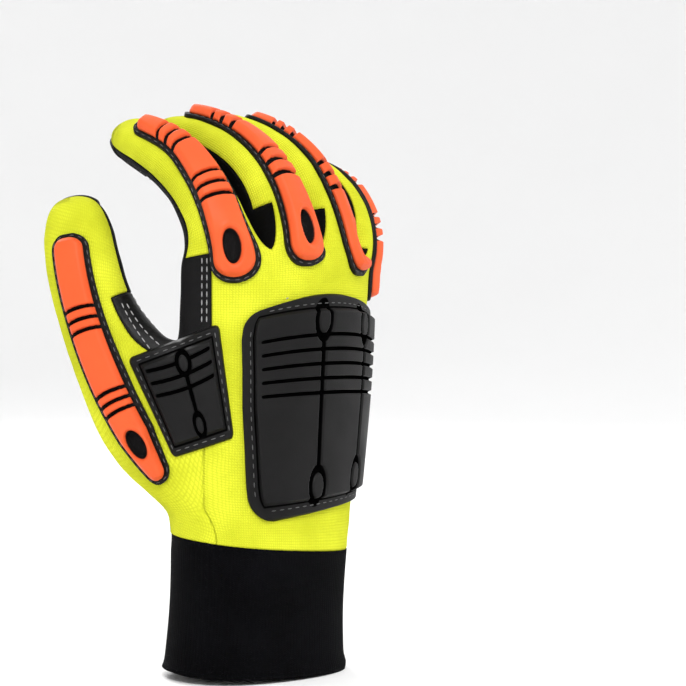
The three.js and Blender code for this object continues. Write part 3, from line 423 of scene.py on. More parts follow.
class Cage:
    """A coarse mesh of four-sided faces, each with its part, row and column, rounded by subdivision."""

    def __init__(self) -> None:
        """Starts an empty cage with its layers."""
        self.bm = bmesh.new()
        self.uv = self.bm.loops.layers.uv.new("cloth")
        self.part = self.bm.faces.layers.int.new("part")
        self.row = self.bm.faces.layers.int.new("row")
        self.column = self.bm.faces.layers.int.new("column")

    def first_ring(self, places: Sequence[Vector]) -> list[BMVert]:
        """A closed ring of edges at the given places.

        Args:
            places: the ring's places in order.

        Returns:
            Its verts in the same order.
        """
        made = bmesh.ops.create_circle(self.bm, cap_ends=False, segments=len(places), radius=1)
        for vert, place in zip(made["verts"], places):
            vert.co = place
        return made["verts"]

    def mark(self, face: BMFace, part: Part, row: int, column: int) -> None:
        """Writes where a face lies on the hand.

        Args:
            face: the face.
            part: its part.
            row: its row along the part.
            column: its column round the part.
        """
        face[self.part] = list(Part).index(part)
        face[self.row] = row
        face[self.column] = column

    def grow(self, ring: Sequence[BMVert], places: Sequence[Vector], part: Part, row: int,
             around: Sequence[float], ends: tuple[float, float]) -> list[BMVert]:
        """Extrudes a ring to its next places.

        Args:
            ring: the ring to grow from.
            places: the next ring's places.
            part: the part that the new faces belong to.
            row: their row.
            around: cloth length round the ring at each vert, with the full length at the end.
            ends: cloth length along at the old and at the new ring.

        Returns:
            The new ring.
        """
        count = len(ring)
        edges = [self.bm.edges.get((ring[k], ring[(k + 1) % count])) for k in range(count)]
        made = bmesh.ops.extrude_edge_only(self.bm, edges=edges)["geom"]
        near = {v.co.to_tuple(5): v for v in made if isinstance(v, BMVert)}
        above = [near[v.co.to_tuple(5)] for v in ring]
        for k in range(count):
            n = (k + 1) % count
            face = self.bm.faces.get((ring[k], ring[n], above[n], above[k]))
            self.mark(face, part, row, k)
            spots = {ring[k]: (around[k], ends[0]), ring[n]: (around[k + 1], ends[0]),
                     above[k]: (around[k], ends[1]), above[n]: (around[k + 1], ends[1])}
            for loop in face.loops:
                loop[self.uv].uv = spots[loop.vert]
        for vert, place in zip(above, places):
            vert.co = place
        return above

    def tube(self, ring: Sequence[BMVert], spine: Spine, sections: Sequence[TubeSection], finger: Finger,
             width: float, depth: float) -> None:
        """A finger or the thumb, closed at its tip.

        Args:
            ring: the eight verts that it grows from.
            spine: its middle line.
            sections: its rings.
            finger: its part and roll.
            width, depth: its full sizes.
        """
        turn = math.pi * (width + depth) / 2 / 8
        around = [k * turn for k in range(9)]
        last = 0.12
        for row, section in enumerate(sections):
            places = []
            for across, outward in RING_OF_EIGHT:
                lie = spine.at(section.at + section.lean * across, section.roll * finger.roll)
                aside = section.width * width / 2 * across + section.shift * width
                behind = section.depth * depth / 2 * outward
                places.append(lie.place + lie.side * aside + lie.back * behind)
            ends = (last * spine.length, section.at * spine.length)
            ring = self.grow(ring, places, finger.part, row, around, ends)
            last = section.at
        tip = self.bm.verts.new(spine.at(1).place)
        for corners, column in TIP_FACES:
            face = self.bm.faces.new([tip, *(ring[k] for k in corners)])
            self.mark(face, finger.part, len(sections), column)
            for loop in face.loops:
                if loop.vert is tip:
                    loop[self.uv].uv = (around[corners[1]] + turn / 2, spine.length)
                else:
                    k = ring.index(loop.vert)
                    spot = around[8] if k == 0 and corners[0] == 7 else around[k]
                    loop[self.uv].uv = (spot, last * spine.length)

    def rounded(self, levels: int) -> BMesh:
        """The cage after subdivision.

        Args:
            levels: how many times each face is split.

        Returns:
            A fine mesh that keeps the layers.
        """
        bmesh.ops.recalc_face_normals(self.bm, faces=self.bm.faces)
        mesh = bpy.data.meshes.new("cage")
        self.bm.to_mesh(mesh)
        obj = bpy.data.objects.new("cage", mesh)
        bpy.context.scene.collection.objects.link(obj)
        rounding = obj.modifiers.new("round", "SUBSURF")
        rounding.levels = rounding.render_levels = levels
        rounding.boundary_smooth = "ALL"
        rounding.uv_smooth = "PRESERVE_BOUNDARIES"
        fine = bmesh.new()
        fine.from_object(obj, bpy.context.evaluated_depsgraph_get())
        bpy.data.objects.remove(obj)
        bpy.data.meshes.remove(mesh)
        return fine


def lengths_round(places: Sequence[Vector]) -> list[float]:
    """Running length round a closed ring.

    Args:
        places: the ring's places in order.

    Returns:
        A length for each place, from 0, and the full length at the end.
    """
    found = [0.0]
    for k, place in enumerate(places):
        found.append(found[-1] + (places[(k + 1) % len(places)] - place).length)
    return found


def hand_cage() -> Cage:
    """The cage of the whole hand, from the cuff's seam to the fingertips.

    Returns:
        The cage, open at the seam.
    """
    cage = Cage()
    rings = [cuff_ring(CUFF_SECTIONS[-1]), *(palm_ring(row) for row in PALM_SECTIONS)]
    web = rings[THUMB_WEB]
    for k, lift in zip((1, 0, AROUND - 1), WEB_LIFT):
        web[k].z += lift * PALM_HEIGHT
    knuckles = palm_ring(PALM_SECTIONS[-1])
    for k, share in enumerate(KNUCKLES):
        knuckles[1 + k].z = CUFF_HEIGHT + share * PALM_HEIGHT
        knuckles[AROUND - 1 - k].z = CUFF_HEIGHT + (share - PALM_SIDE_DROP) * PALM_HEIGHT
    knuckles[0].z = CUFF_HEIGHT + KNUCKLE_SIDES[0] * PALM_HEIGHT
    knuckles[ACROSS + 1].z = CUFF_HEIGHT + KNUCKLE_SIDES[1] * PALM_HEIGHT
    rings.append(knuckles)
    around = lengths_round(rings[2])
    rows = [cage.first_ring(rings[0])]
    for row, (lower, upper) in enumerate(zip(rings, rings[1:])):
        ends = (lower[ACROSS // 2].z, upper[ACROSS // 2].z)
        rows.append(cage.grow(rows[-1], upper, Part.HAND, row, around, ends))
    hole = [face for face in cage.bm.faces
            if THUMB_FOOT <= face[cage.row] < THUMB_WEB and face[cage.column] in (0, AROUND - 1)]
    foot, middle, web_row = rows[THUMB_FOOT], rows[THUMB_FOOT + 1], rows[THUMB_WEB]
    thumb_base = [foot[1], middle[1], web_row[1], web_row[0],
                  web_row[-1], middle[-1], foot[-1], foot[0]]
    bmesh.ops.delete(cage.bm, geom=hole, context="FACES_ONLY")
    inner = [edge for edge in middle[0].link_edges]
    bmesh.ops.delete(cage.bm, geom=inner, context="EDGES")
    cage.tube(thumb_base, THUMB_SPINE, THUMB_SECTIONS, THUMB, THUMB_WIDTH, THUMB_DEPTH)

    top = rows[-1]
    sides = [top[0]]
    for k, share in enumerate(CROTCHES):
        back, palm = top[1 + 2 * (k + 1)], top[AROUND - 1 - 2 * (k + 1)]
        place = (back.co + palm.co) / 2
        place.z = CUFF_HEIGHT + share * PALM_HEIGHT
        crotch = cage.bm.verts.new(place)
        for end in (back, palm):
            cage.bm.edges.new((crotch, end))
        sides.append(crotch)
    sides.append(top[ACROSS + 1])
    for k, finger in enumerate(FINGERS):
        j = 2 * k
        base = [top[1 + j], top[2 + j], top[3 + j], sides[k + 1],
                top[AROUND - 3 - j], top[AROUND - 2 - j], top[AROUND - 1 - j], sides[k]]
        cage.tube(base, FINGER_SPINES[finger.part], FINGER_SECTIONS, finger,
                  finger.width * FINGER_WIDTH, finger.depth * FINGER_DEPTH)
    return cage


def cuff_cage() -> Cage:
    """The cage of the cuff, from its hem to the seam.

    Returns:
        The cage, open at both ends.
    """
    cage = Cage()
    rings = [cuff_ring(row) for row in CUFF_SECTIONS]
    around = lengths_round(rings[1])
    ring = cage.first_ring(rings[0])
    for row, (lower, upper) in enumerate(zip(CUFF_SECTIONS, CUFF_SECTIONS[1:])):
        ends = (lower.up * CUFF_HEIGHT, upper.up * CUFF_HEIGHT)
        ring = cage.grow(ring, rings[row + 1], Part.CUFF, row, around, ends)
    return cage


def shell_piece(part: Part, row: int, column: int) -> str:
    """The shell piece that a face of the hand belongs to.

    Args:
        part: the face's part.
        row: its row, from the part's base.
        column: its column round the part.

    Returns:
        The piece's name, which is its solid's name too.
    """
    if part is Part.HAND:
        if column in (0, AROUND - 1):
            return "thumb_cloth" if row < THUMB_FOOT else "palm_leather"
        return "back_cloth" if column <= ACROSS else "palm_leather"
    if part is Part.THUMB:
        if row < 3 and column in (2, 3):
            return "web_patch"
        return "thumb_cloth" if column in (0, 1, 2, 6, 7) else "palm_leather"
    finger = [f.part for f in FINGERS].index(part)
    if finger > 0 and column == 7 and row == 0:
        return f"fourchette_{finger}"
    if column in (0, 1, 7):
        return "back_cloth"
    if row == len(FINGER_SECTIONS) or column in (4, 5):
        return "palm_leather"
    if column == 6:
        return "palm_leather" if finger == 0 else f"fourchette_{finger}"
    if finger == len(FINGERS) - 1:
        return "back_cloth" if column == 2 else "palm_leather"
    return f"fourchette_{finger + 1}"


class Surface:
    """The glove's fine outside, for laying other pieces on it."""

    # A line that slips between two faces is sent again from a hair beside its start
    BESIDE = (0.0, 0.02, -0.02, 0.1, -0.1, 0.3, -0.3)

    def __init__(self, fine: BMesh) -> None:
        """Builds the search tree of a fine mesh."""
        self.tree = BVHTree.FromBMesh(fine)

    def hit(self, start: Vector, direction: Vector) -> Vector:
        """The nearest place on the glove along a line.

        Args:
            start: where the line starts.
            direction: its direction.

        Returns:
            The place that it meets.
        """
        for beside in self.BESIDE:
            begin = start + Vector((beside, beside, beside))
            place = self.tree.ray_cast(begin, direction.normalized())[0]
            if place is not None:
                return place
        raise ValueError("a line misses the glove")


# Materials


class Nodes:
    """A small helper that adds shader nodes to a tree and links them."""

    def __init__(self, tree: bpy.types.NodeTree) -> None:
        """Keeps the tree."""
        self.tree = tree

    def add(self, kind: str, inputs: dict | None = None, **settings: object) -> bpy.types.Node:
        """Adds a node.

        Args:
            kind: the node's type name.
            inputs: values or sockets for its inputs by name or number.
            settings: its own properties.

        Returns:
            The node.
        """
        node = self.tree.nodes.new(kind)
        for key, value in settings.items():
            setattr(node, key, value)
        for key, value in (inputs or {}).items():
            self.feed(node.inputs[key], value)
        return node

    def feed(self, socket: bpy.types.NodeSocket, value: object) -> None:
        """Links a socket to another, or sets its value."""
        if isinstance(value, bpy.types.NodeSocket):
            self.tree.links.new(value, socket)
        else:
            socket.default_value = value

    def math(self, operation: str, *values: object) -> bpy.types.NodeSocket:
        """The result of a math node."""
        return self.add("ShaderNodeMath", dict(enumerate(values)), operation=operation).outputs[0]

    def noise(self, vector: object, scale: object, detail: float = 3) -> bpy.types.NodeSocket:
        """The value of a noise texture on a vector."""
        node = self.add("ShaderNodeTexNoise", {"Vector": vector, "Scale": scale, "Detail": detail})
        return node.outputs["Fac"]

    def blend(self, share: object, a: object, b: object) -> bpy.types.NodeSocket:
        """Two colours mixed by a share."""
        return self.add("ShaderNodeMix", {0: share, 6: a, 7: b}, data_type="RGBA").outputs[2]

    def ramp(self, value: object, low: float, high: float) -> bpy.types.NodeSocket:
        """A value stretched from a range to 0..1."""
        node = self.add("ShaderNodeMapRange", {"Value": value, "From Min": low, "From Max": high})
        return node.outputs["Result"]

    def bump(self, height: object, depth: float) -> bpy.types.NodeSocket:
        """A normal that is tilted by a height, for a full depth in millimetres."""
        return self.add("ShaderNodeBump", {"Height": height, "Distance": depth * MM}).outputs[0]

    def use(self, group: bpy.types.NodeTree, inputs: dict) -> bpy.types.NodeOutputs:
        """Places a shared effect and gives its outputs."""
        return self.add("ShaderNodeGroup", inputs, node_tree=group).outputs


def rgba(red: float, green: float, blue: float) -> tuple[float, float, float, float]:
    """A colour with full cover."""
    return (red, green, blue, 1.0)


def new_material(name: str) -> tuple[bpy.types.Material, Nodes, bpy.types.Node]:
    """A node material with nothing but its main shader.

    Args:
        name: the material's name.

    Returns:
        The material, the helper for its tree and the shader.
    """
    material = bpy.data.materials.new(name)
    material.use_nodes = True
    nodes = Nodes(material.node_tree)
    return material, nodes, material.node_tree.nodes["Principled BSDF"]


class Effects:
    """Effects that several finishes share, each a node group that is built once."""

    def __init__(self) -> None:
        """Builds the groups."""
        self.tone = self.tone_group()
        self.grain = self.grain_group()

    def group(self, name: str, inputs: dict[str, str], outputs: dict[str, str]) -> Nodes:
        """An empty group with its sockets.

        Args:
            name: the group's name.
            inputs, outputs: the socket type of each named socket.

        Returns:
            The helper for the group's tree.
        """
        tree = bpy.data.node_groups.new(name, "ShaderNodeTree")
        for way, sockets in (("INPUT", inputs), ("OUTPUT", outputs)):
            for label, kind in sockets.items():
                tree.interface.new_socket(name=label, in_out=way, socket_type=f"NodeSocket{kind}")
        return Nodes(tree)

    def tone_group(self) -> bpy.types.NodeTree:
        """Broad uneven colour between a light and a dark tone, where handling has worn it.

        Returns:
            The group's tree.
        """
        n = self.group("broad_tone", {"Vector": "Vector", "Scale": "Float", "Light": "Color",
                                      "Dark": "Color"}, {"Colour": "Color", "Wear": "Float"})
        given = n.add("NodeGroupInput").outputs
        patches = n.ramp(n.noise(given["Vector"], given["Scale"], 4), 0.3, 0.7)
        colour = n.blend(patches, given["Dark"], given["Light"])
        n.add("NodeGroupOutput", {"Colour": colour, "Wear": patches})
        return n.tree

    def grain_group(self) -> bpy.types.NodeTree:
        """Fine grain made of pores and fibres.

        Returns:
            The group's tree.
        """
        n = self.group("fine_grain", {"Vector": "Vector", "Scale": "Float", "Pores": "Float"},
                       {"Height": "Float"})
        given = n.add("NodeGroupInput").outputs
        fibres = n.noise(given["Vector"], given["Scale"], 4)
        cells = n.add("ShaderNodeTexVoronoi", {"Vector": given["Vector"], "Scale": given["Scale"]})
        pores = n.math("MULTIPLY", cells.outputs["Distance"], given["Pores"])
        n.add("NodeGroupOutput", {"Height": n.math("ADD", fibres, pores)})
        return n.tree


@dataclass(frozen=True)
class Knit:
    """Knitted cloth with a fine grid of raised dots or ribs."""

    name: str
    light: tuple[float, float, float, float]
    dark: tuple[float, float, float, float]
    across_pitch: float
    along_pitch: float
    depth: float
    slant: float = 0.0
    # Share of painted shade in the hollows between the dots
    shadow: float = 0.45
    fibre_scale: float = 2600.0
    tone_scale: float = 40.0

    def material(self, effects: Effects) -> bpy.types.Material:
        """Builds the knit on the cloth's own map, whose unit is a millimetre.

        Args:
            effects: the shared groups.

        Returns:
            The finish.
        """
        material, n, shader = new_material(self.name)
        uv = n.add("ShaderNodeUVMap", uv_map="cloth").outputs["UV"]
        turned = n.add("ShaderNodeMapping", {"Vector": uv, "Rotation": (0, 0, math.radians(self.slant))})
        parts = n.add("ShaderNodeSeparateXYZ", {0: turned.outputs[0]}).outputs
        wander = n.math("MULTIPLY", n.noise(turned.outputs[0], 0.15, 2), 0.8)
        waves = []
        for value, pitch in ((n.math("ADD", parts[0], wander), self.across_pitch),
                             (parts[1], self.along_pitch)):
            wave = n.math("SINE", n.math("MULTIPLY", value, math.tau / pitch))
            waves.append(n.math("MULTIPLY_ADD", wave, 0.5, 0.5))
        cells = n.math("POWER", n.math("MULTIPLY", waves[0], waves[1]), 0.6)
        obj = n.add("ShaderNodeTexCoord").outputs["Object"]
        fibres = n.use(effects.grain, {"Vector": obj, "Scale": self.fibre_scale, "Pores": 0.1})["Height"]
        tone = n.use(effects.tone, {"Vector": obj, "Scale": self.tone_scale, "Light": self.light,
                                    "Dark": self.dark})["Colour"]
        # Painted shade: the hollows between the knit's dots are darkened towards the dark tone by the
        # share shadow, and the fibres add a fine grain
        shade = n.math("MULTIPLY_ADD", fibres, 0.3, n.math("MULTIPLY", cells, 0.7))
        colour = n.blend(n.math("MULTIPLY_ADD", n.ramp(shade, 0.0, 0.6), -self.shadow, self.shadow),
                         tone, self.dark)
        height = n.math("MULTIPLY_ADD", fibres, 0.35, cells)
        n.feed(shader.inputs["Base Color"], colour)
        n.feed(shader.inputs["Normal"], n.bump(height, self.depth))
        shader.inputs["Roughness"].default_value = 0.88
        shader.inputs["Specular IOR Level"].default_value = 0.05
        return material


@dataclass(frozen=True)
class Skin:
    """Leather or moulded rubber: a grain, a broad tone and, where the mesh is dark, its groove colour
    with less shine: painted shade in the black rubber's grooves and gutters, the black base's own colour
    on the orange rubber.
    """

    name: str
    light: tuple[float, float, float, float]
    dark: tuple[float, float, float, float]
    grain_scale: float
    pores: float
    depth: float
    roughness: tuple[float, float]
    specular: float = 0.3
    groove: tuple[float, float, float, float] | None = None
    tone_scale: float = 45.0

    def material(self, effects: Effects) -> bpy.types.Material:
        """Builds the skin.

        Args:
            effects: the shared groups.

        Returns:
            The finish.
        """
        material, n, shader = new_material(self.name)
        obj = n.add("ShaderNodeTexCoord").outputs["Object"]
        tone = n.use(effects.tone, {"Vector": obj, "Scale": self.tone_scale, "Light": self.light,
                                    "Dark": self.dark})
        height = n.use(effects.grain, {"Vector": obj, "Scale": self.grain_scale,
                                       "Pores": self.pores})["Height"]
        colour = tone["Colour"]
        shine = shader.inputs["Specular IOR Level"]
        shine.default_value = self.specular
        # Painted shade on the black rubber: where the mesh is dark, the colour goes to the groove colour
        # and the shine is taken away, as if shade lay in its grooves and gutters; on the orange rubber
        # the same colour is the black base seen in the grooves and the window
        if self.groove:
            painted = n.add("ShaderNodeAttribute", attribute_name="dark").outputs["Fac"]
            edge = n.ramp(n.math("MULTIPLY_ADD", height, 0.1, painted), 0.35, 0.6)
            colour = n.blend(edge, colour, self.groove)
            n.feed(shine, n.math("MULTIPLY_ADD", edge, -self.specular, self.specular))
        rough = n.add("ShaderNodeMapRange", {"Value": tone["Wear"], "To Min": self.roughness[1],
                                             "To Max": self.roughness[0]})
        n.feed(shader.inputs["Base Color"], colour)
        n.feed(shader.inputs["Normal"], n.bump(height, self.depth))
        n.feed(shader.inputs["Roughness"], rough.outputs["Result"])
        return material


class Finishes:
    """Every finish of the glove, built once."""

    def __init__(self) -> None:
        """Builds the materials."""
        effects = Effects()
        yellow = (rgba(0.76, 0.8, 0.042), rgba(0.5, 0.53, 0.02))
        knit = (rgba(0.0024, 0.0025, 0.0034), rgba(0.0007, 0.0007, 0.001))
        cloth = (rgba(0.004, 0.004, 0.0042), rgba(0.0015, 0.0015, 0.0016))
        suede = (rgba(0.0078, 0.0076, 0.0079), rgba(0.0036, 0.0036, 0.0038))
        smooth = (rgba(0.0045, 0.0045, 0.0048), rgba(0.0022, 0.0022, 0.0024))
        rubber = (rgba(0.0062, 0.006, 0.0061), rgba(0.0038, 0.0037, 0.0038))
        orange = (rgba(0.76, 0.106, 0.027), rgba(0.71, 0.09, 0.021))
        pale = (rgba(0.42, 0.42, 0.42), rgba(0.25, 0.25, 0.26))
        grey = (rgba(0.13, 0.13, 0.13), rgba(0.07, 0.07, 0.07))
        # Painted shade: the near-black colour put in the black rubber pads' grooves and gutters
        black = rgba(0.001, 0.001, 0.001)
        window = rgba(0.009, 0.0086, 0.0088)
        moulded = {"grain_scale": 1900, "pores": 0.2, "depth": 0.05}
        thread = {"grain_scale": 3500, "pores": 0.0, "depth": 0.05, "roughness": (0.55, 0.7)}
        self.yellow = Knit("yellow_knit", *yellow, across_pitch=1.05, along_pitch=1.05, depth=0.2,
                           shadow=0.9).material(effects)
        self.thumb = Knit("yellow_knit_thumb", *yellow, across_pitch=1.05, along_pitch=1.6, depth=0.2,
                          slant=20, shadow=0.9).material(effects)
        self.cuff = Knit("cuff_knit", *knit, across_pitch=1.4, along_pitch=0.75,
                         depth=0.16).material(effects)
        self.gusset = Knit("gusset_cloth", *cloth, across_pitch=0.8, along_pitch=0.8,
                           depth=0.08).material(effects)
        self.suede = Skin("suede", *suede, grain_scale=1400, pores=0.4, depth=0.14,
                          roughness=(0.72, 0.92), specular=0.12).material(effects)
        self.smooth = Skin("smooth_leather", *smooth, grain_scale=620, pores=0.9, depth=0.1,
                           roughness=(0.4, 0.58), specular=0.2).material(effects)
        self.black = Skin("black_rubber", *rubber, **moulded, roughness=(0.42, 0.58), specular=0.15,
                          groove=black).material(effects)
        self.orange = Skin("orange_rubber", *orange, **moulded, roughness=(0.42, 0.56), specular=0.2,
                           groove=window).material(effects)
        self.thread = Skin("thread", *pale, **thread).material(effects)
        self.dark_thread = Skin("dark_thread", *grey, **thread).material(effects)


def make_piece(name: str, bm: BMesh, material: bpy.types.Material, slot: str,
               nodes: Sequence[str] = ()) -> bpy.types.Object:
    """Turns a mesh in millimetres into a finished piece.

    Args:
        name: the piece's name.
        bm: its mesh, which is freed.
        material: its finish.
        slot: the record's material slot; not used.
        nodes: the solids that it stands for.

    Returns:
        The piece.
    """
    bmesh.ops.scale(bm, vec=(MM, MM, MM), verts=bm.verts)
    for face in bm.faces:
        face.smooth = True
        face.material_index = 0
    mesh = bpy.data.meshes.new(name)
    bm.to_mesh(mesh)
    bm.free()
    mesh.materials.append(material)
    piece = bpy.data.objects.new(name, mesh)
    bpy.context.scene.collection.objects.link(piece)
    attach(piece, "root")
    if nodes:
        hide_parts(*nodes)
    LOG.info("%s: %d faces", name, len(mesh.polygons))
    return piece


def thicken(piece: bpy.types.Object, wall: float) -> None:
    """Gives a sheet its wall, inwards from its face.

    Args:
        piece: the sheet.
        wall: its wall in millimetres.
    """
    solid = piece.modifiers.new("wall", "SOLIDIFY")
    solid.thickness = wall * MM
    solid.offset = -1
    solid.use_even_offset = False


class Stitches:
    """Rows of short raised stitches along lines on the glove."""

    def __init__(self, name: str, length: float, gap: float, thick: float) -> None:
        """Keeps the stitch's sizes in millimetres."""
        self.name, self.length, self.gap, self.thick = name, length, gap, thick
        self.bm = bmesh.new()

    def run(self, places: Sequence[Vector], outs: Sequence[Vector]) -> None:
        """Adds stitches along a line.

        Args:
            places: close places along the line.
            outs: the outward direction at each place.
        """
        pitch = self.length + self.gap
        travelled, due = 0.0, pitch / 2
        for a, b, out in zip(places, places[1:], outs):
            step = (b - a).length
            while step > 0 and due <= travelled + step:
                spot = a.lerp(b, (due - travelled) / step)
                self.one(spot, (b - a).normalized(), out)
                due += pitch
            travelled += step

    def one(self, spot: Vector, along: Vector, out: Vector) -> None:
        """Adds one stitch.

        Args:
            spot: its middle.
            along: the way that it runs.
            out: the outward direction there.
        """
        side = along.cross(out).normalized()
        up = side.cross(along)
        turn = Matrix((along * (self.length / 2), side * (self.thick / 2), up * (self.thick / 2)))
        frame = Matrix.Translation(spot + up * self.thick * 0.1) @ turn.transposed().to_4x4()
        bmesh.ops.create_uvsphere(self.bm, u_segments=6, v_segments=4, radius=1,
                                  matrix=frame @ Matrix.Rotation(math.pi / 2, 4, "Y"))

    def piece(self, material: bpy.types.Material, slot: str) -> bpy.types.Object:
        """The finished rows as one piece."""
        return make_piece(self.name, self.bm, material, slot)


Placer = Callable[[float, float], tuple[Vector, Vector]]


def linear(low: float, high: float, count: int) -> list[float]:
    """Evenly spaced values."""
    return [mix(low, high, k / (count - 1)) for k in range(count)]


def sew(stitches: Stitches, placer: Placer, line: Sequence[tuple[float, float]], lift: float) -> None:
    """Adds a row of stitches on a laid grid.

    Args:
        stitches: the rows so far.
        placer: gives the place and outward direction of a spot.
        line: the row's spots, as the placer takes them.
        lift: how far over the glove it lies, in millimetres.
    """
    spots = [placer(along, across) for along, across in line]
    stitches.run([place + out * lift for place, out in spots], [out for _, out in spots])


def laid_grid(rows: int, columns: int, placer: Placer, height: Callable[[float, float], float],
              dark: Callable[[float, float], float] | None = None) -> BMesh:
    """A fine grid that is laid on the glove and raised by a height.

    Args:
        rows, columns: how fine it is.
        placer: place and outward direction for shares along and across.
        height: height over the glove for the same shares.
        dark: how dark the skin is there: painted shade in the grooves and gutters of the black pads, the
            black base's own colour in the orange guards.

    Returns:
        The mesh, with its dark value on its verts.
    """
    bm = bmesh.new()
    bmesh.ops.create_grid(bm, x_segments=columns, y_segments=rows, size=0.5)
    layer = bm.verts.layers.float.new("dark")
    for vert in bm.verts:
        across, along = vert.co.x + 0.5, vert.co.y + 0.5
        place, out = placer(along, across)
        vert.co = place + out * height(along, across)
        vert[layer] = dark(along, across) if dark else 0.0
    bmesh.ops.recalc_face_normals(bm, faces=bm.faces)
    middle = min(bm.faces, key=lambda face: (face.calc_center_median() - place_of(placer)).length)
    if middle.normal.dot(placer(0.5, 0.5)[1]) < 0:
        bmesh.ops.reverse_faces(bm, faces=bm.faces)
    return bm


def place_of(placer: Placer) -> Vector:
    """The place in the middle of a laid grid."""
    return placer(0.5, 0.5)[0]


@dataclass(frozen=True)
class GuardForm:
    """Outline and grooves of a guard, from its first end to its last."""

    outline: tuple[tuple[float, float], ...]
    grooves: tuple[float, ...]
    window: float


FINGER_GUARD = GuardForm(
    ((0.0, 1.0), (0.1, 1.0), (0.4, 0.94), (0.65, 0.84), (0.9, 0.68), (1.0, 0.6)),
    (0.4, 0.455, 0.51, 0.72, 0.77, 0.82), 0.15,
)
THUMB_GUARD = GuardForm(
    ((0.0, 0.6), (0.1, 0.82), (0.2, 0.98), (0.4, 1.0), (0.7, 0.96), (1.0, 0.94)),
    (0.31, 0.35, 0.39, 0.63, 0.675, 0.72), 0.17,
)
# Full width in millimetres, and the thumb's own share of it, start along the thumb and roll in degrees
GUARD_WIDTH = 17.5
THUMB_GUARD_SHARE, THUMB_GUARD_START, THUMB_GUARD_ROLL = 0.88, 0.1, 12.0


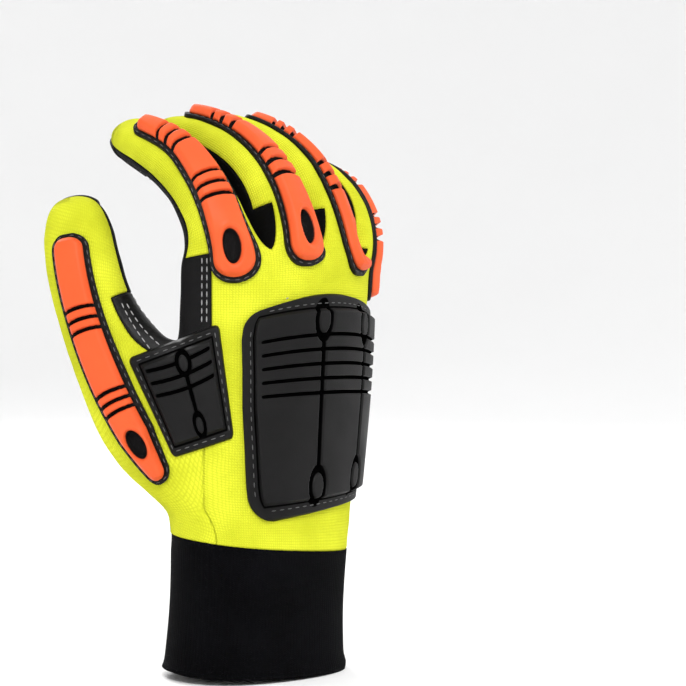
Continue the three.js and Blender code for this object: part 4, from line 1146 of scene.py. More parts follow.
@dataclass
class Guard:
    """A moulded guard: a black strip with a stitched border, and its orange raised part."""

    name: str
    form: GuardForm
    spine: Spine
    roll: float
    start: float
    end: float
    width: float
    surface: Surface
    border: float = 2.1
    base_thick: float = 1.2
    raise_by: float = 3.4
    seat: float = 0.35
    window_length: float = 13.0
    window_width: float = 6.0

    @property
    def length(self) -> float:
        """Length along the finger."""
        return self.spine.length * (self.end - self.start)

    def cell(self, along: float, arc: float) -> tuple[Vector, Vector]:
        """A place on the glove under the guard.

        Args:
            along: share of the guard's length.
            arc: millimetres round the finger from the guard's middle.

        Returns:
            The place and the way out there.
        """
        lie = self.spine.at(self.start + (self.end - self.start) * along, self.roll)
        middle = self.surface.hit(lie.place, lie.back)
        radius = max((middle - lie.place).length, FINGER_DEPTH / 2)
        centre = middle - lie.back * radius
        angle = arc / radius
        out = lie.back * math.cos(angle) + lie.side * math.sin(angle)
        return self.surface.hit(centre, out), out

    def half_at(self, along: float, inset: float = 0.0) -> float:
        """Half width, with both ends rounded off.

        Args:
            along: share of the guard's length.
            inset: how far inside the outline, in millimetres.

        Returns:
            The half width in millimetres.
        """
        half = between(self.form.outline, along) * self.width / 2 - inset
        near = min(along, 1 - along) * self.length - inset
        radius = min(half, self.width / 2 - inset)
        if near < radius:
            lack = (radius - max(near, 0.0)) / radius
            half = min(half, radius * math.sqrt(max(1 - lack ** 2.4, 0.0004)))
        return max(half, 0.2)

    def spread(self, share: float) -> float:
        """Shares of the rows, closer together at both ends."""
        return 0.45 * share + 0.55 * (0.5 - 0.5 * math.cos(math.pi * share))

    def share_at(self, along: float, inset: float) -> float:
        """Share of the length at a row of a grid that starts and ends inside the outline by an inset."""
        margin = inset / self.length
        return margin + self.spread(along) * (1 - 2 * margin)

    def placer(self, inset: float) -> Placer:
        """Places for a grid on the glove.

        Args:
            inset: how far its edge lies inside the outline, in millimetres.

        Returns:
            The function that gives the places.
        """
        def place(along: float, across: float) -> tuple[Vector, Vector]:
            """Place and outward direction for shares along and across."""
            at = self.share_at(along, inset)
            return self.cell(at, (2 * across - 1) * self.half_at(at, inset))

        return place

    def edge(self, along: float, across: float, inset: float) -> float:
        """Distance from a grid's edge.

        Args:
            along, across: shares of the grid.
            inset: how far its edge lies inside the outline.

        Returns:
            The distance in millimetres.
        """
        at = self.share_at(along, inset)
        side = (1 - abs(2 * across - 1)) * self.half_at(at, inset)
        return min(side, min(at, 1 - at) * self.length - inset)

    def base(self) -> BMesh:
        """The black strip.

        Returns:
            Its mesh.
        """
        def height(along: float, across: float) -> float:
            """Height over the glove, with a small bead along the edge."""
            edge = self.edge(along, across, 0)
            bead = 0.25 * math.exp(-((edge - 0.7) / 0.5) ** 2)
            return self.seat - 0.5 + (self.base_thick + 0.5) * smoothstep(-0.1, 0.55, edge) + bead

        return laid_grid(150, 28, self.placer(0), height)

    def groove_at(self, along: float, across: float) -> float:
        """How deep the cross grooves are.

        Args:
            along, across: shares of the raised part's grid.

        Returns:
            1 in the middle of a groove and 0 away from it.
        """
        bow = 0.9 * (2 * across - 1) ** 2
        at = self.share_at(along, self.border)
        deepest = 0.0
        for middle in self.form.grooves:
            away = abs((at - middle) * self.length + bow)
            deepest = max(deepest, 1 - smoothstep(0.35, 1.15, away))
        return deepest

    def window_at(self, along: float, across: float) -> float:
        """How far a spot lies inside the window.

        Args:
            along, across: shares of the raised part's grid.

        Returns:
            1 in the window's middle, 0 at its edge and less outside.
        """
        at = self.share_at(along, self.border)
        x = (2 * across - 1) * self.half_at(at, self.border) / (self.window_width / 2)
        y = (at - self.form.window) * self.length / (self.window_length / 2)
        return 1 - math.sqrt(x * x + y * y)

    def raised(self) -> BMesh:
        """The orange part, with its grooves and its window.

        Returns:
            Its mesh.
        """
        low = self.seat + self.base_thick

        def height(along: float, across: float) -> float:
            """Height over the glove: a low dome with the grooves, the window and its lip."""
            edge = self.edge(along, across, self.border)
            dome = 0.35 * (1 - (2 * across - 1) ** 2)
            top = (self.raise_by + dome) * smoothstep(-0.9, 2.3, edge) ** 0.8
            top *= 1 - 0.8 * self.groove_at(along, across)
            hollow = smoothstep(-0.02, 0.28, self.window_at(along, across))
            lip = 0.3 * math.exp(-((self.window_at(along, across) + 0.16) / 0.12) ** 2)
            sunk = -0.8 if edge < 0.05 else 0.0
            return low + sunk + (top + lip) * (1 - hollow)

        def dark(along: float, across: float) -> float:
            """How dark the skin is: 1 in the window and in the grooves."""
            window = smoothstep(0.02, 0.2, self.window_at(along, across))
            return max(0.9 * smoothstep(0.2, 0.9, self.groove_at(along, across)), window)

        return laid_grid(360, 44, self.placer(self.border), height, dark)

    def stitch(self, stitches: Stitches) -> None:
        """Adds the dashed line round the strip's border.

        Args:
            stitches: the rows so far.
        """
        placer = self.placer(self.border * 0.5)
        lift = self.seat + self.base_thick + 0.05
        for across in (0, 1):
            sew(stitches, placer, [(share, across) for share in linear(0, 1, 91)], lift)

    def build(self, finishes: Finishes) -> None:
        """Builds both pieces.

        Args:
            finishes: the glove's finishes.
        """
        base = make_piece(f"{self.name}_guard_strip", self.base(), finishes.black, "black_rubber",
                          [f"{self.name}_guard_base"])
        thicken(base, 0.8)
        guard = make_piece(f"{self.name}_guard_shell", self.raised(), finishes.orange, "orange_rubber",
                           [f"{self.name}_guard"])
        thicken(guard, 0.8)


class Facing(Enum):
    """A side of the hand, with the sign of its way out."""

    BACK = 1
    PALM = -1


class HandSide:
    """Places on the back or the palm by arc from its middle and by height."""

    STEP_DEGREES = 6
    REACH_DEGREES = 108
    LEVELS = 20

    def __init__(self, surface: Surface, facing: Facing) -> None:
        """Measures arcs round the hand.

        Args:
            surface: the glove's outside.
            facing: the side of the hand.
        """
        self.surface, self.facing = surface, facing
        step = PALM_HEIGHT / self.LEVELS
        self.rows = []
        for k in range(1, self.LEVELS):
            z = CUFF_HEIGHT + k * step
            self.rows.append((z, self.stops(z)))

    def middle(self, z: float) -> Vector:
        """The middle of the hand at a height.

        Args:
            z: the height.

        Returns:
            The place there.
        """
        rows = [(CUFF_HEIGHT + r.up * PALM_HEIGHT, r) for r in PALM_SECTIONS]
        x = between([(h, r.shift * PALM_WIDTH) for h, r in rows], z)
        y = between([(h, (r.sink + r.arch * 0.4) * PALM_DEPTH) for h, r in rows], z)
        return Vector((x, y, z))

    def out(self, degrees: float) -> Vector:
        """The way out at an angle from the middle line."""
        angle = math.radians(degrees)
        return Vector((math.sin(angle), -math.cos(angle), 0)) * self.facing.value

    def stops(self, z: float) -> list[tuple[float, float]]:
        """Arcs and angles round the hand at a height.

        Args:
            z: the height.

        Returns:
            Pairs of arc in millimetres and angle in degrees, in rising order.
        """
        found = []
        for way in (-1, 1):
            last, arc = None, 0.0
            for degrees in range(0, self.REACH_DEGREES + 1, self.STEP_DEGREES):
                place = self.surface.hit(self.middle(z), self.out(way * degrees))
                if last is not None:
                    arc += (place - last).length
                last = place
                if way > 0 or degrees > 0:
                    found.append((way * arc, way * degrees))
        return sorted(found)

    def at(self, arc: float, z: float) -> tuple[Vector, Vector]:
        """The place at an arc and a height.

        Args:
            arc: millimetres round the hand from its middle.
            z: the height.

        Returns:
            The place and the way out there.
        """
        z = min(max(z, self.rows[0][0]), self.rows[-1][0])
        k = 1
        while k < len(self.rows) - 1 and self.rows[k][0] < z:
            k += 1
        (low, lower), (high, upper) = self.rows[k - 1], self.rows[k]
        degrees = mix(between(lower, arc), between(upper, arc), (z - low) / (high - low))
        out = self.out(degrees)
        return self.surface.hit(self.middle(z), out), out


@dataclass
class BackPad:
    """The moulded pad on the back of the hand."""

    side: HandSide
    height: float = 90.0
    width: float = 84.0
    border: float = 6.0
    thick: float = 1.8
    raise_by: float = 2.6
    top: float = 0.89
    brow: float = 0.07
    rise: float = 0.06
    corner: float = 0.11
    left: tuple[tuple[float, float], ...] = (
        (0.0, -0.39), (0.16, -0.4), (0.5, -0.375), (0.85, -0.33), (1.0, -0.3))
    right: tuple[tuple[float, float], ...] = (
        (0.0, 0.53), (0.16, 0.55), (0.5, 0.545), (0.85, 0.51), (1.0, 0.48))
    grooves: tuple[float, ...] = (0.18, 0.245, 0.31, 0.375, 0.44)
    columns: tuple[tuple[float, float, float], ...] = ((0.42, 0.115, 0.87), (0.73, 0.13, 0.85))
    loop: tuple[float, float] = (3.3, 7.2)

    def reach(self, down: float) -> tuple[float, float]:
        """Where the sides lie, with round corners.

        Args:
            down: share of the height from the top.

        Returns:
            Left and right edge in millimetres.
        """
        pull = 0.0
        near = min(down, 1 - down)
        if near < self.corner:
            lack = (self.corner - near) / self.corner
            pull = self.corner * self.height * (1 - math.sqrt(max(1 - lack * lack, 0.0)))
        left = between(self.left, down) * self.width + pull
        right = between(self.right, down) * self.width - pull
        return left, right

    def placer(self, along: float, across: float) -> tuple[Vector, Vector]:
        """The place of a grid's spot on the hand.

        Args:
            along, across: its shares from the bottom and from the left.

        Returns:
            The place and the way out there.
        """
        down = 1 - along
        left, right = self.reach(down)
        arc = mix(left, right, across)
        brow = self.brow * (2 * across - 1) ** 2 * max(0.0, 1 - 2 * down)
        rise = self.rise * across * max(0.0, 2 * down - 1)
        z = CUFF_HEIGHT + self.top * PALM_HEIGHT - (down + brow - rise) * self.height
        return self.side.at(arc, z)

    def edge(self, along: float, across: float) -> float:
        """Distance from the edge.

        Args:
            along, across: shares of the grid.

        Returns:
            The distance in millimetres.
        """
        left, right = self.reach(1 - along)
        return min(min(across, 1 - across) * (right - left), min(along, 1 - along) * self.height)

    def groove(self, along: float, across: float) -> float:
        """How deep the grooves are: cross lines, and upright ones with a loop at both ends.

        Args:
            along, across: shares of the grid.

        Returns:
            1 in the middle of a groove and 0 away from it.
        """
        down = (1 - along) * self.height
        deepest = 0.0
        inside = smoothstep(0.1, 0.125, across) * smoothstep(0.04, 0.06, 1 - across)
        bow = 1.6 * (2 * across - 1) ** 2
        for middle in self.grooves:
            away = abs(down - middle * self.height - bow)
            deepest = max(deepest, inside * (1 - smoothstep(0.35, 1.0, away)))
        left, right = self.reach(1 - along)
        wide, tall = self.loop
        for share, first, last in self.columns:
            x = (across - share) * (right - left)
            for end in (first, last):
                ring = math.hypot(x / wide, (down - end * self.height) / tall)
                deepest = max(deepest, 1 - smoothstep(0.12, 0.34, abs(ring - 1)))
            if first * self.height + 7 < down < last * self.height - 7:
                deepest = max(deepest, 1 - smoothstep(0.55, 1.25, abs(x)))
        return deepest

    def bump(self, along: float, across: float) -> float:
        """Height over the glove.

        Args:
            along, across: shares of the grid.

        Returns:
            The height in millimetres.
        """
        edge = self.edge(along, across)
        rim = -0.5 + (self.thick + 0.5) * smoothstep(-0.2, 0.9, edge)
        panel = self.raise_by * smoothstep(self.border - 0.9, self.border + 1.3, edge)
        return 0.4 + rim + panel - 1.5 * self.groove(along, across) * min(panel, 1.0)

    def dark(self, along: float, across: float) -> float:
        """Painted shade, from 0 to 1: in the gutter at the foot of the raised panel and in the grooves.
        """
        gutter_shade = 0.75 * math.exp(-((self.edge(along, across) - self.border + 0.6) / 0.5) ** 2)
        return max(gutter_shade, self.groove(along, across))

    def build(self, finishes: Finishes, stitches: Stitches) -> None:
        """Builds the pad and its border's stitches.

        Args:
            finishes: the glove's finishes.
            stitches: the rows so far.
        """
        bm = laid_grid(240, 190, self.placer, self.bump, self.dark)
        piece = make_piece("back_pad_shell", bm, finishes.black, "black_rubber", ["back_pad"])
        thicken(piece, 1.0)
        inset = self.border * 0.62 / self.height
        for level in (inset, 1 - inset):
            sew(stitches, self.placer, [(level, t) for t in linear(0.1, 0.9, 60)], self.thick + 0.45)
        for side in (0.052, 0.948):
            sew(stitches, self.placer, [(t, side) for t in linear(0.1, 0.9, 80)], self.thick + 0.45)


@dataclass
class WebGuard:
    """The moulded guard beside the thumb's web."""

    surface: Surface
    height: float = 45.0
    width: float = 37.0
    thick: float = 1.6
    raise_by: float = 2.2
    rim: float = 0.09
    facing: float = -42.0
    centre: tuple[float, float, float] = (-0.388, -0.02, 0.545)
    corners: tuple[tuple[float, float], ...] = ((-0.62, 0.29), (0.36, 0.6), (0.53, -0.4), (-0.12, -0.58))
    grooves: tuple[float, ...] = (0.2, 0.32, 0.44)
    seams: tuple[float, ...] = (6.4, 8.4)
    seam_reach: tuple[float, float] = (27.0, 52.0)
    round_off: float = 0.06
    loops: tuple[float, ...] = (0.22, 0.79)
    loop: tuple[float, float] = (2.6, 4.6)

    def ways(self) -> tuple[Vector, Vector]:
        """The way out of the guard and the way across it."""
        c, s = math.cos(math.radians(self.facing)), math.sin(math.radians(self.facing))
        return Vector((s, -c, 0)), Vector((c, s, 0))

    def on_hand(self, x: float, z: float) -> tuple[Vector, Vector]:
        """A place on the glove, seen from the front of the guard.

        Args:
            x, z: millimetres across and up from the guard's centre.

        Returns:
            The place and the way out there.
        """
        out, aside = self.ways()
        start = start_of(*self.centre) + out * PALM_WIDTH + aside * x
        start.z += z
        return self.surface.hit(start, -out), out

    def placer(self, along: float, across: float) -> tuple[Vector, Vector]:
        """The place of a grid's spot on the hand, with round corners.

        Args:
            along, across: its shares from the bottom and from the left.

        Returns:
            The place and the way out there.
        """
        down = 1 - along
        round_off = self.round_off
        near_u = min(across, 1 - across)
        near_v = min(down, 1 - down)
        if near_u < round_off and near_v < round_off:
            lack_u, lack_v = 1 - near_u / round_off, 1 - near_v / round_off
            size = math.hypot(lack_u, lack_v)
            if size > 0:
                pull = max(lack_u, lack_v) / size
                near_u, near_v = round_off * (1 - lack_u * pull), round_off * (1 - lack_v * pull)
                across = near_u if across < 0.5 else 1 - near_u
                down = near_v if down < 0.5 else 1 - near_v
        top_left, top_right, low_right, low_left = self.corners
        left = [mix(a, b, down) for a, b in zip(top_left, low_left)]
        right = [mix(a, b, down) for a, b in zip(top_right, low_right)]
        x, z = (mix(a, b, across) for a, b in zip(left, right))
        return self.on_hand(x * self.width, z * self.height)

    def groove(self, along: float, across: float) -> float:
        """How deep the grooves are: cross lines, and an upright one with a loop at both ends.

        Args:
            along, across: shares of the grid.

        Returns:
            1 in the middle of a groove and 0 away from it.
        """
        down = 1 - along
        bow = 0.05 * (2 * across - 1) ** 2
        inside = smoothstep(0.11, 0.16, across) * smoothstep(0.11, 0.16, 1 - across)
        deepest = 0.0
        x = (across - 0.55) * self.width
        wide, tall = self.loop
        for end in self.loops:
            ring = math.hypot(x / wide, (down - end) * self.height / tall)
            deepest = max(deepest, 1 - smoothstep(0.14, 0.36, abs(ring - 1)))
            inside *= smoothstep(0.8, 1.0, ring)
        for middle in self.grooves:
            deepest = max(deepest, inside * (1 - smoothstep(0.008, 0.024, abs(down - middle + bow))))
        if self.loops[0] + 0.1 < down < self.loops[1] - 0.1:
            deepest = max(deepest, 1 - smoothstep(0.45, 1.1, abs(x)))
        return deepest

    def edge(self, along: float, across: float) -> float:
        """Distance from the edge in shares of the size."""
        return min(along, 1 - along, across, 1 - across)

    def bump(self, along: float, across: float) -> float:
        """Height over the glove.

        Args:
            along, across: shares of the grid.

        Returns:
            The height in millimetres.
        """
        edge = self.edge(along, across)
        rim = -0.5 + (self.thick + 0.5) * smoothstep(-0.005, 0.02, edge)
        panel = self.raise_by * smoothstep(self.rim, self.rim + 0.04, edge)
        return 0.4 + rim + panel - 1.3 * self.groove(along, across) * min(panel, 1.0)

    def dark(self, along: float, across: float) -> float:
        """Painted shade, from 0 to 1: in the gutter at the foot of the raised panel and in the grooves.
        """
        gutter_shade = 0.75 * math.exp(-((self.edge(along, across) - self.rim) / 0.012) ** 2)
        return max(gutter_shade, self.groove(along, across))

    def build(self, finishes: Finishes, stitches: Stitches) -> None:
        """Builds the guard and its border's stitches.

        Args:
            finishes: the glove's finishes.
            stitches: the rows so far.
        """
        bm = laid_grid(130, 110, self.placer, self.bump, self.dark)
        piece = make_piece("web_guard_shell", bm, finishes.black, "black_rubber", ["web_guard"])
        thicken(piece, 0.9)
        inset = self.rim * 0.6
        route = [(inset, t) for t in linear(0.06, 0.94, 60)]
        for line in (route, [(1 - a, t) for a, t in route],
                     [(t, a) for a, t in route], [(t, 1 - a) for a, t in route]):
            sew(stitches, self.placer, line, self.thick + 0.45)

    def rows_above(self, stitches: Stitches) -> None:
        """Adds the double row of stitches on the leather above the guard."""
        for x in self.seams:
            sew(stitches, self.on_hand, [(x, z) for z in linear(*self.seam_reach, 40)], 0.2)


@dataclass
class PalmPatch:
    """A leather patch on the palm between an upper and a lower edge."""

    name: str
    side: HandSide
    columns: tuple[tuple[float, float, float], ...]
    thick: float = 1.4
    rows: tuple[float, ...] = (2.0, 4.6)

    def edges_at(self, across: float) -> tuple[float, float, float]:
        """Where the patch's edges lie.

        Args:
            across: share of its width.

        Returns:
            Arc, upper edge and lower edge in millimetres.
        """
        first, last = self.columns[0][0], self.columns[-1][0]
        arc = mix(first, last, across)
        top = smooth_between([(a, t) for a, t, _ in self.columns], arc)
        low = smooth_between([(a, b) for a, _, b in self.columns], arc)
        return arc * PALM_WIDTH, top * PALM_HEIGHT, low * PALM_HEIGHT

    def placer(self, along: float, across: float) -> tuple[Vector, Vector]:
        """The place of a grid's spot on the palm."""
        arc, top, low = self.edges_at(across)
        return self.side.at(arc, CUFF_HEIGHT + mix(low, top, along))

    def bump(self, along: float, across: float) -> float:
        """Height over the glove, with a sunk seam and a soft middle.

        Args:
            along, across: shares of the grid.

        Returns:
            The height in millimetres.
        """
        _, top, low = self.edges_at(across)
        wide = (self.columns[-1][0] - self.columns[0][0]) * PALM_WIDTH
        edge = min((top - low) * min(along, 1 - along), wide * min(across, 1 - across))
        puff = 0.35 * smoothstep(2.0, 6.0, edge)
        seam = -0.35 * math.exp(-((edge - 2.0) / 0.6) ** 2)
        return -0.1 + self.thick * smoothstep(-0.3, 0.8, edge) + puff + seam

    def build(self, finishes: Finishes, stitches: Stitches) -> None:
        """Builds the patch and a double row of stitches along its edges.

        Args:
            finishes: the glove's finishes.
            stitches: the rows so far.
        """
        bm = laid_grid(60, 150, self.placer, self.bump)
        piece = make_piece(f"{self.name}_leather", bm, finishes.smooth, "black_leather", [self.name])
        thicken(piece, 0.8)
        for inset in self.rows:
            line = []
            for across in linear(0.03, 0.97, 110):
                _, top, low = self.edges_at(across)
                line.append((min(inset / max(top - low, 1.0), 0.5), across))
            sew(stitches, self.placer, [(1 - along, across) for along, across in line], self.thick + 0.1)
            sew(stitches, self.placer, line, self.thick + 0.1)


# Each patch's columns: arc from the palm's middle as a share of its width, and the upper and the lower
# edge as shares of its height
PALM_PATCHES = (
    ("palm_patch_upper", (
        (-0.4, 0.83, 0.7), (-0.31, 0.9, 0.7), (-0.21, 0.88, 0.72), (-0.1, 0.96, 0.74), (0.0, 0.9, 0.74),
        (0.11, 0.97, 0.72), (0.2, 0.9, 0.69), (0.29, 0.94, 0.67), (0.36, 0.91, 0.67),
    )),
    ("palm_patch_lower", (
        (-0.38, 0.3, 0.05), (-0.28, 0.37, 0.04), (-0.18, 0.4, 0.07), (-0.09, 0.41, 0.2),
        (-0.03, 0.41, 0.29), (0.02, 0.41, 0.2), (0.08, 0.39, 0.08), (0.16, 0.42, 0.06),
        (0.24, 0.49, 0.11), (0.32, 0.56, 0.21), (0.38, 0.59, 0.33),
    )),
)


@dataclass
class Shell:
    """The cloth and leather shell, cut into its pieces."""

    fine: BMesh
    seam_sink: float = 0.5
    crumple: float = 0.22
    crumple_size: float = 7.0
    cloth_wall: float = 1.3
    leather_wall: float = 1.4
    tip_wall: float = 0.6
    tip_raise: float = 0.9
    tip_rim: float = 0.05

    def piece_mesh(self, wanted: Callable[[Part, int, int], bool]) -> BMesh:
        """A copy of the faces that belong to one piece.

        Args:
            wanted: whether a face is part of it, from its part, row and column.

        Returns:
            The piece's mesh.
        """
        bm = self.fine.copy()
        layers = bm.faces.layers.int
        part, row, column = layers["part"], layers["row"], layers["column"]
        kinds = list(Part)
        drop = [f for f in bm.faces if not wanted(kinds[f[part]], f[row], f[column])]
        bmesh.ops.delete(bm, geom=drop, context="FACES")
        return bm

    def build(self, finishes: Finishes) -> None:
        """Builds every piece of the shell.

        Args:
            finishes: the glove's finishes.
        """
        cloth, leather = self.cloth_wall, self.leather_wall
        looks = (
            ("back_cloth", finishes.yellow, "yellow_cloth", cloth),
            ("thumb_cloth", finishes.thumb, "yellow_cloth", cloth),
            ("palm_leather", finishes.suede, "black_leather", leather),
            ("web_patch", finishes.smooth, "black_leather", leather),
            *((f"fourchette_{k}", finishes.gusset, "black_cloth", cloth) for k in (1, 2, 3)),
        )
        for name, material, slot, wall in looks:
            bm = self.piece_mesh(lambda part, row, column: shell_piece(part, row, column) == name)
            self.dress(bm)
            piece = make_piece(f"{name}_sewn", bm, material, slot, [name])
            thicken(piece, wall)

    def dress(self, bm: BMesh) -> None:
        """Sinks the seams and makes the cloth a little uneven.

        Args:
            bm: the piece's mesh, in millimetres.
        """
        bm.normal_update()
        moves = {}
        for vert in bm.verts:
            seam = any(edge.is_boundary for edge in vert.link_edges)
            crumple = noise.noise(vert.co / self.crumple_size) * self.crumple
            moves[vert] = vert.normal * (-self.seam_sink if seam else crumple)
        for vert, move in moves.items():
            vert.co += move

    def tip_patches(self, finishes: Finishes) -> None:
        """Builds the smooth leather on the palm side of each tip.

        Args:
            finishes: the glove's finishes.
        """
        for part in (Part.INDEX, Part.MIDDLE, Part.RING, Part.LITTLE, Part.THUMB):
            sections = THUMB_SECTIONS if part is Part.THUMB else FINGER_SECTIONS
            bm = self.piece_mesh(lambda p, row, column: p is part and row > len(sections) - 2
                                 and column in (4, 5))
            bm.normal_update()
            for vert in bm.verts:
                rim = any(edge.is_boundary for edge in vert.link_edges)
                vert.co += vert.normal * (self.tip_rim if rim else self.tip_raise)
            piece = make_piece(f"{part.value}_tip_leather", bm, finishes.smooth, "black_leather",
                               [f"{part.value}_tip_patch"])
            thicken(piece, self.tip_wall)


@dataclass
class Cuff:
    """The knit cuff with its rolled hem."""

    wall: float = 2.2
    hem_roll: float = 0.9
    hem_height: float = 2.5
    hem_spread: float = 2.6
    seam_sink: float = 0.32

    def build(self, finishes: Finishes) -> None:
        """Builds the cuff.

        Args:
            finishes: the glove's finishes.
        """
        fine = cuff_cage().rounded(FINE_LEVELS)
        for vert in fine.verts:
            up = vert.co.z
            roll = self.hem_roll * math.exp(-((up - self.hem_height) / self.hem_spread) ** 2)
            seam = self.seam_sink * smoothstep(CUFF_HEIGHT - 4, CUFF_HEIGHT + 2, up)
            out = Vector((vert.co.x, vert.co.y, 0)).normalized()
            vert.co += out * (roll - seam)
        piece = make_piece("cuff_knit_tube", fine, finishes.cuff, "black_knit", ["cuff"])
        thicken(piece, self.wall)


@dataclass
class SeamLines:
    """Rows of stitches that lie straight on the leather: fingertip rows and the web's double lines."""

    surface: Surface
    rows: tuple[float, ...] = (0.7, 0.735, 0.77)
    thumb_rows: tuple[float, ...] = (0.66, 0.69, 0.72)
    palm_side: tuple[float, float] = (130.0, 230.0)
    bow: float = 0.02
    web_angles: tuple[float, ...] = (71.0, 77.0, 103.0, 109.0)
    web_reach: tuple[float, float] = (0.3, 0.63)

    def lay(self, stitches: Stitches, lies: Sequence[tuple[Lie, float]]) -> None:
        """Adds a row of stitches through places on the glove.

        Args:
            stitches: the rows so far.
            lies: the spot on the middle line and the angle about it, from the back towards the side.
        """
        places, outs = [], []
        for lie, degrees in lies:
            angle = math.radians(degrees)
            out = lie.back * math.cos(angle) + lie.side * math.sin(angle)
            places.append(self.surface.hit(lie.place, out) + out * 0.1)
            outs.append(out)
        stitches.run(places, outs)

    def build(self, stitches: Stitches) -> None:
        """Adds every row.

        Args:
            stitches: the rows so far.
        """
        for finger in (*FINGERS, THUMB):
            thumb = finger is THUMB
            spine = THUMB_SPINE if thumb else FINGER_SPINES[finger.part]
            for row in self.thumb_rows if thumb else self.rows:
                lies = []
                for degrees in linear(*self.palm_side, 40):
                    bow = self.bow * math.cos(math.radians((degrees - 180) * 1.8))
                    lies.append((spine.at(row - bow, finger.roll), degrees))
                self.lay(stitches, lies)
        for angle in self.web_angles:
            self.lay(stitches, [(THUMB_SPINE.at(share), angle) for share in linear(*self.web_reach, 40)])


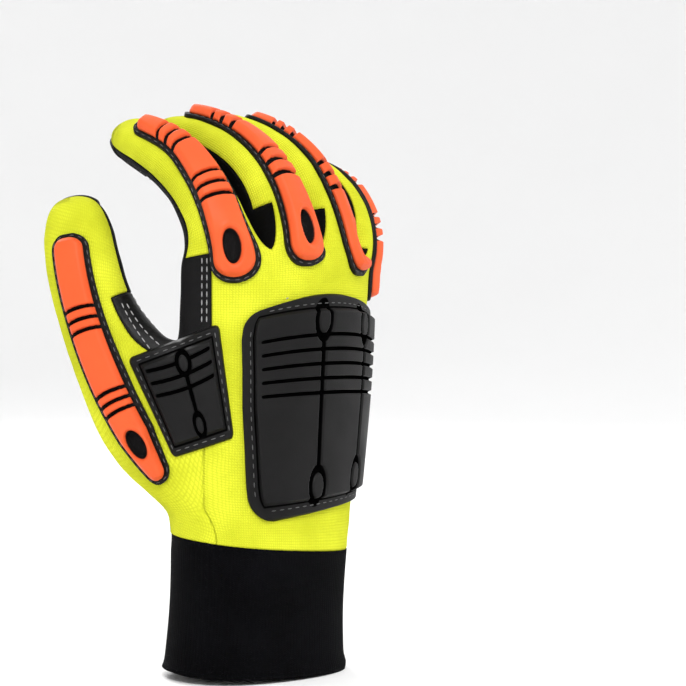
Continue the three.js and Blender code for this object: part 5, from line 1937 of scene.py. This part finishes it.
class Studio:
    """Floor, lights, world and camera."""

    AZIMUTH, ELEVATION, DISTANCE = -40.0, 8.0, 0.9
    FOCAL_PIXELS, IMAGE_PIXELS, SENSOR = 2195.0, 686.0, 36.0
    TARGET = Vector((0, 0, 0.026))
    TARGET_PIXEL = (258.0, 607.0)
    FLOOR_REACH, FLOOR_FLAT, FLOOR_RISE = 6.0, 1.8, 0.4
    SKY = 0.94
    # Name, place in metres, size in metres and power in watts
    LAMPS = (
        ("key_lamp", (-0.9, -1.1, 1.3), 0.6, 20),
        ("fill_lamp", (1.2, -0.9, 0.8), 1.2, 6),
        ("rim_lamp", (0.3, 1.2, 1.1), 0.8, 12),
    )

    def floor(self, low: float) -> None:
        """A pale floor that curves up far behind the object.

        Args:
            low: its height in metres.
        """
        bm = bmesh.new()
        bmesh.ops.create_grid(bm, x_segments=120, y_segments=120, size=self.FLOOR_REACH)
        for vert in bm.verts:
            beyond = max(vert.co.xy.length - self.FLOOR_FLAT, 0.0)
            vert.co.z = low + self.FLOOR_RISE * beyond * beyond
        for face in bm.faces:
            face.smooth = True
        mesh = bpy.data.meshes.new("floor")
        bm.to_mesh(mesh)
        bm.free()
        floor = bpy.data.objects.new("floor", mesh)
        bpy.context.scene.collection.objects.link(floor)
        material, n, shader = new_material("pale_floor")
        obj = n.add("ShaderNodeTexCoord").outputs["Object"]
        colour = n.blend(n.noise(obj, 3, 2), rgba(0.93, 0.93, 0.93), rgba(0.96, 0.96, 0.96))
        n.tree.links.new(colour, shader.inputs["Base Color"])
        shader.inputs["Roughness"].default_value = 0.7
        mesh.materials.append(material)
        floor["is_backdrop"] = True

    def lamp(self, name: str, place: tuple[float, float, float], size: float, power: float) -> None:
        """A large soft lamp aimed at the glove.

        Args:
            name: its name.
            place: where it hangs, in metres.
            size: its width in metres.
            power: its power in watts.
        """
        data = bpy.data.lights.new(name, "AREA")
        data.shape, data.size, data.energy = "DISK", size, power
        lamp = bpy.data.objects.new(name, data)
        lamp.location = place
        lamp.rotation_mode = "QUATERNION"
        aim = Vector((0, 0, 0.12)) - Vector(place)
        lamp.rotation_quaternion = aim.to_track_quat("-Z", "Y")
        bpy.context.scene.collection.objects.link(lamp)

    def world(self) -> None:
        """An even white sky, and the plain view transform, which keeps the bright colours full."""
        world = bpy.data.worlds.new("studio")
        world.use_nodes = True
        sky = world.node_tree.nodes["Background"]
        sky.inputs["Color"].default_value = rgba(1, 1, 1)
        sky.inputs["Strength"].default_value = self.SKY
        bpy.context.scene.world = world
        bpy.context.scene.view_settings.view_transform = "Standard"

    def camera(self) -> None:
        """The camera, turned so that the target lands on its own spot in the picture."""
        data = bpy.data.cameras.new("camera")
        data.sensor_width = self.SENSOR
        data.lens = self.FOCAL_PIXELS * self.SENSOR / self.IMAGE_PIXELS
        camera = bpy.data.objects.new("camera", data)
        bpy.context.scene.collection.objects.link(camera)
        a, e = math.radians(self.AZIMUTH), math.radians(self.ELEVATION)
        back = Vector((math.sin(a) * math.cos(e), -math.cos(a) * math.cos(e), math.sin(e)))
        camera.rotation_mode = "QUATERNION"
        middle = self.IMAGE_PIXELS / 2
        seen = Vector((self.TARGET_PIXEL[0] - middle, middle - self.TARGET_PIXEL[1], -self.FOCAL_PIXELS))
        turn = seen.normalized().rotation_difference(Vector((0, 0, -1)))
        camera.rotation_quaternion = (-back).to_track_quat("-Z", "Y") @ turn
        camera.location = self.TARGET + back * self.DISTANCE
        bpy.context.scene.camera = camera

    def build(self, low: float) -> None:
        """Builds the whole studio.

        Args:
            low: the floor's height in metres.
        """
        self.floor(low)
        for lamp in self.LAMPS:
            self.lamp(*lamp)
        self.world()
        self.camera()


def main() -> None:
    """Builds every piece in order."""
    logging.basicConfig(level=logging.INFO, format="%(message)s")
    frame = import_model()
    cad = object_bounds()
    LOG.info("%d solids to dress", len(frame["nodes"]))
    finishes = Finishes()
    fine = hand_cage().rounded(FINE_LEVELS)
    surface = Surface(fine)
    shell = Shell(fine)
    shell.build(finishes)
    shell.tip_patches(finishes)
    Cuff().build(finishes)

    border_stitches = Stitches("border_stitches", length=2.2, gap=1.5, thick=0.42)
    palm_stitches = Stitches("palm_stitches", length=2.4, gap=0.9, thick=0.5)
    guards = [
        Guard(f.part.value, FINGER_GUARD, FINGER_SPINES[f.part], f.roll, 0.0, f.guard,
              GUARD_WIDTH * f.width, surface)
        for f in FINGERS
    ]
    guards.append(Guard("thumb", THUMB_GUARD, THUMB_SPINE, THUMB_GUARD_ROLL, THUMB_GUARD_START,
                        THUMB.guard, GUARD_WIDTH * THUMB_GUARD_SHARE, surface))
    for guard in guards:
        guard.build(finishes)
        guard.stitch(border_stitches)
    back = HandSide(surface, Facing.BACK)
    palm = HandSide(surface, Facing.PALM)
    BackPad(back).build(finishes, border_stitches)
    web_guard = WebGuard(surface)
    web_guard.build(finishes, border_stitches)
    web_guard.rows_above(palm_stitches)
    for name, columns in PALM_PATCHES:
        PalmPatch(name, palm, columns).build(finishes, palm_stitches)
    SeamLines(surface).build(palm_stitches)
    border_stitches.piece(finishes.dark_thread, "black_rubber")
    palm_stitches.piece(finishes.thread, "black_leather")
    Studio().build(cad[0].z)


if __name__ == "__main__":
    main()
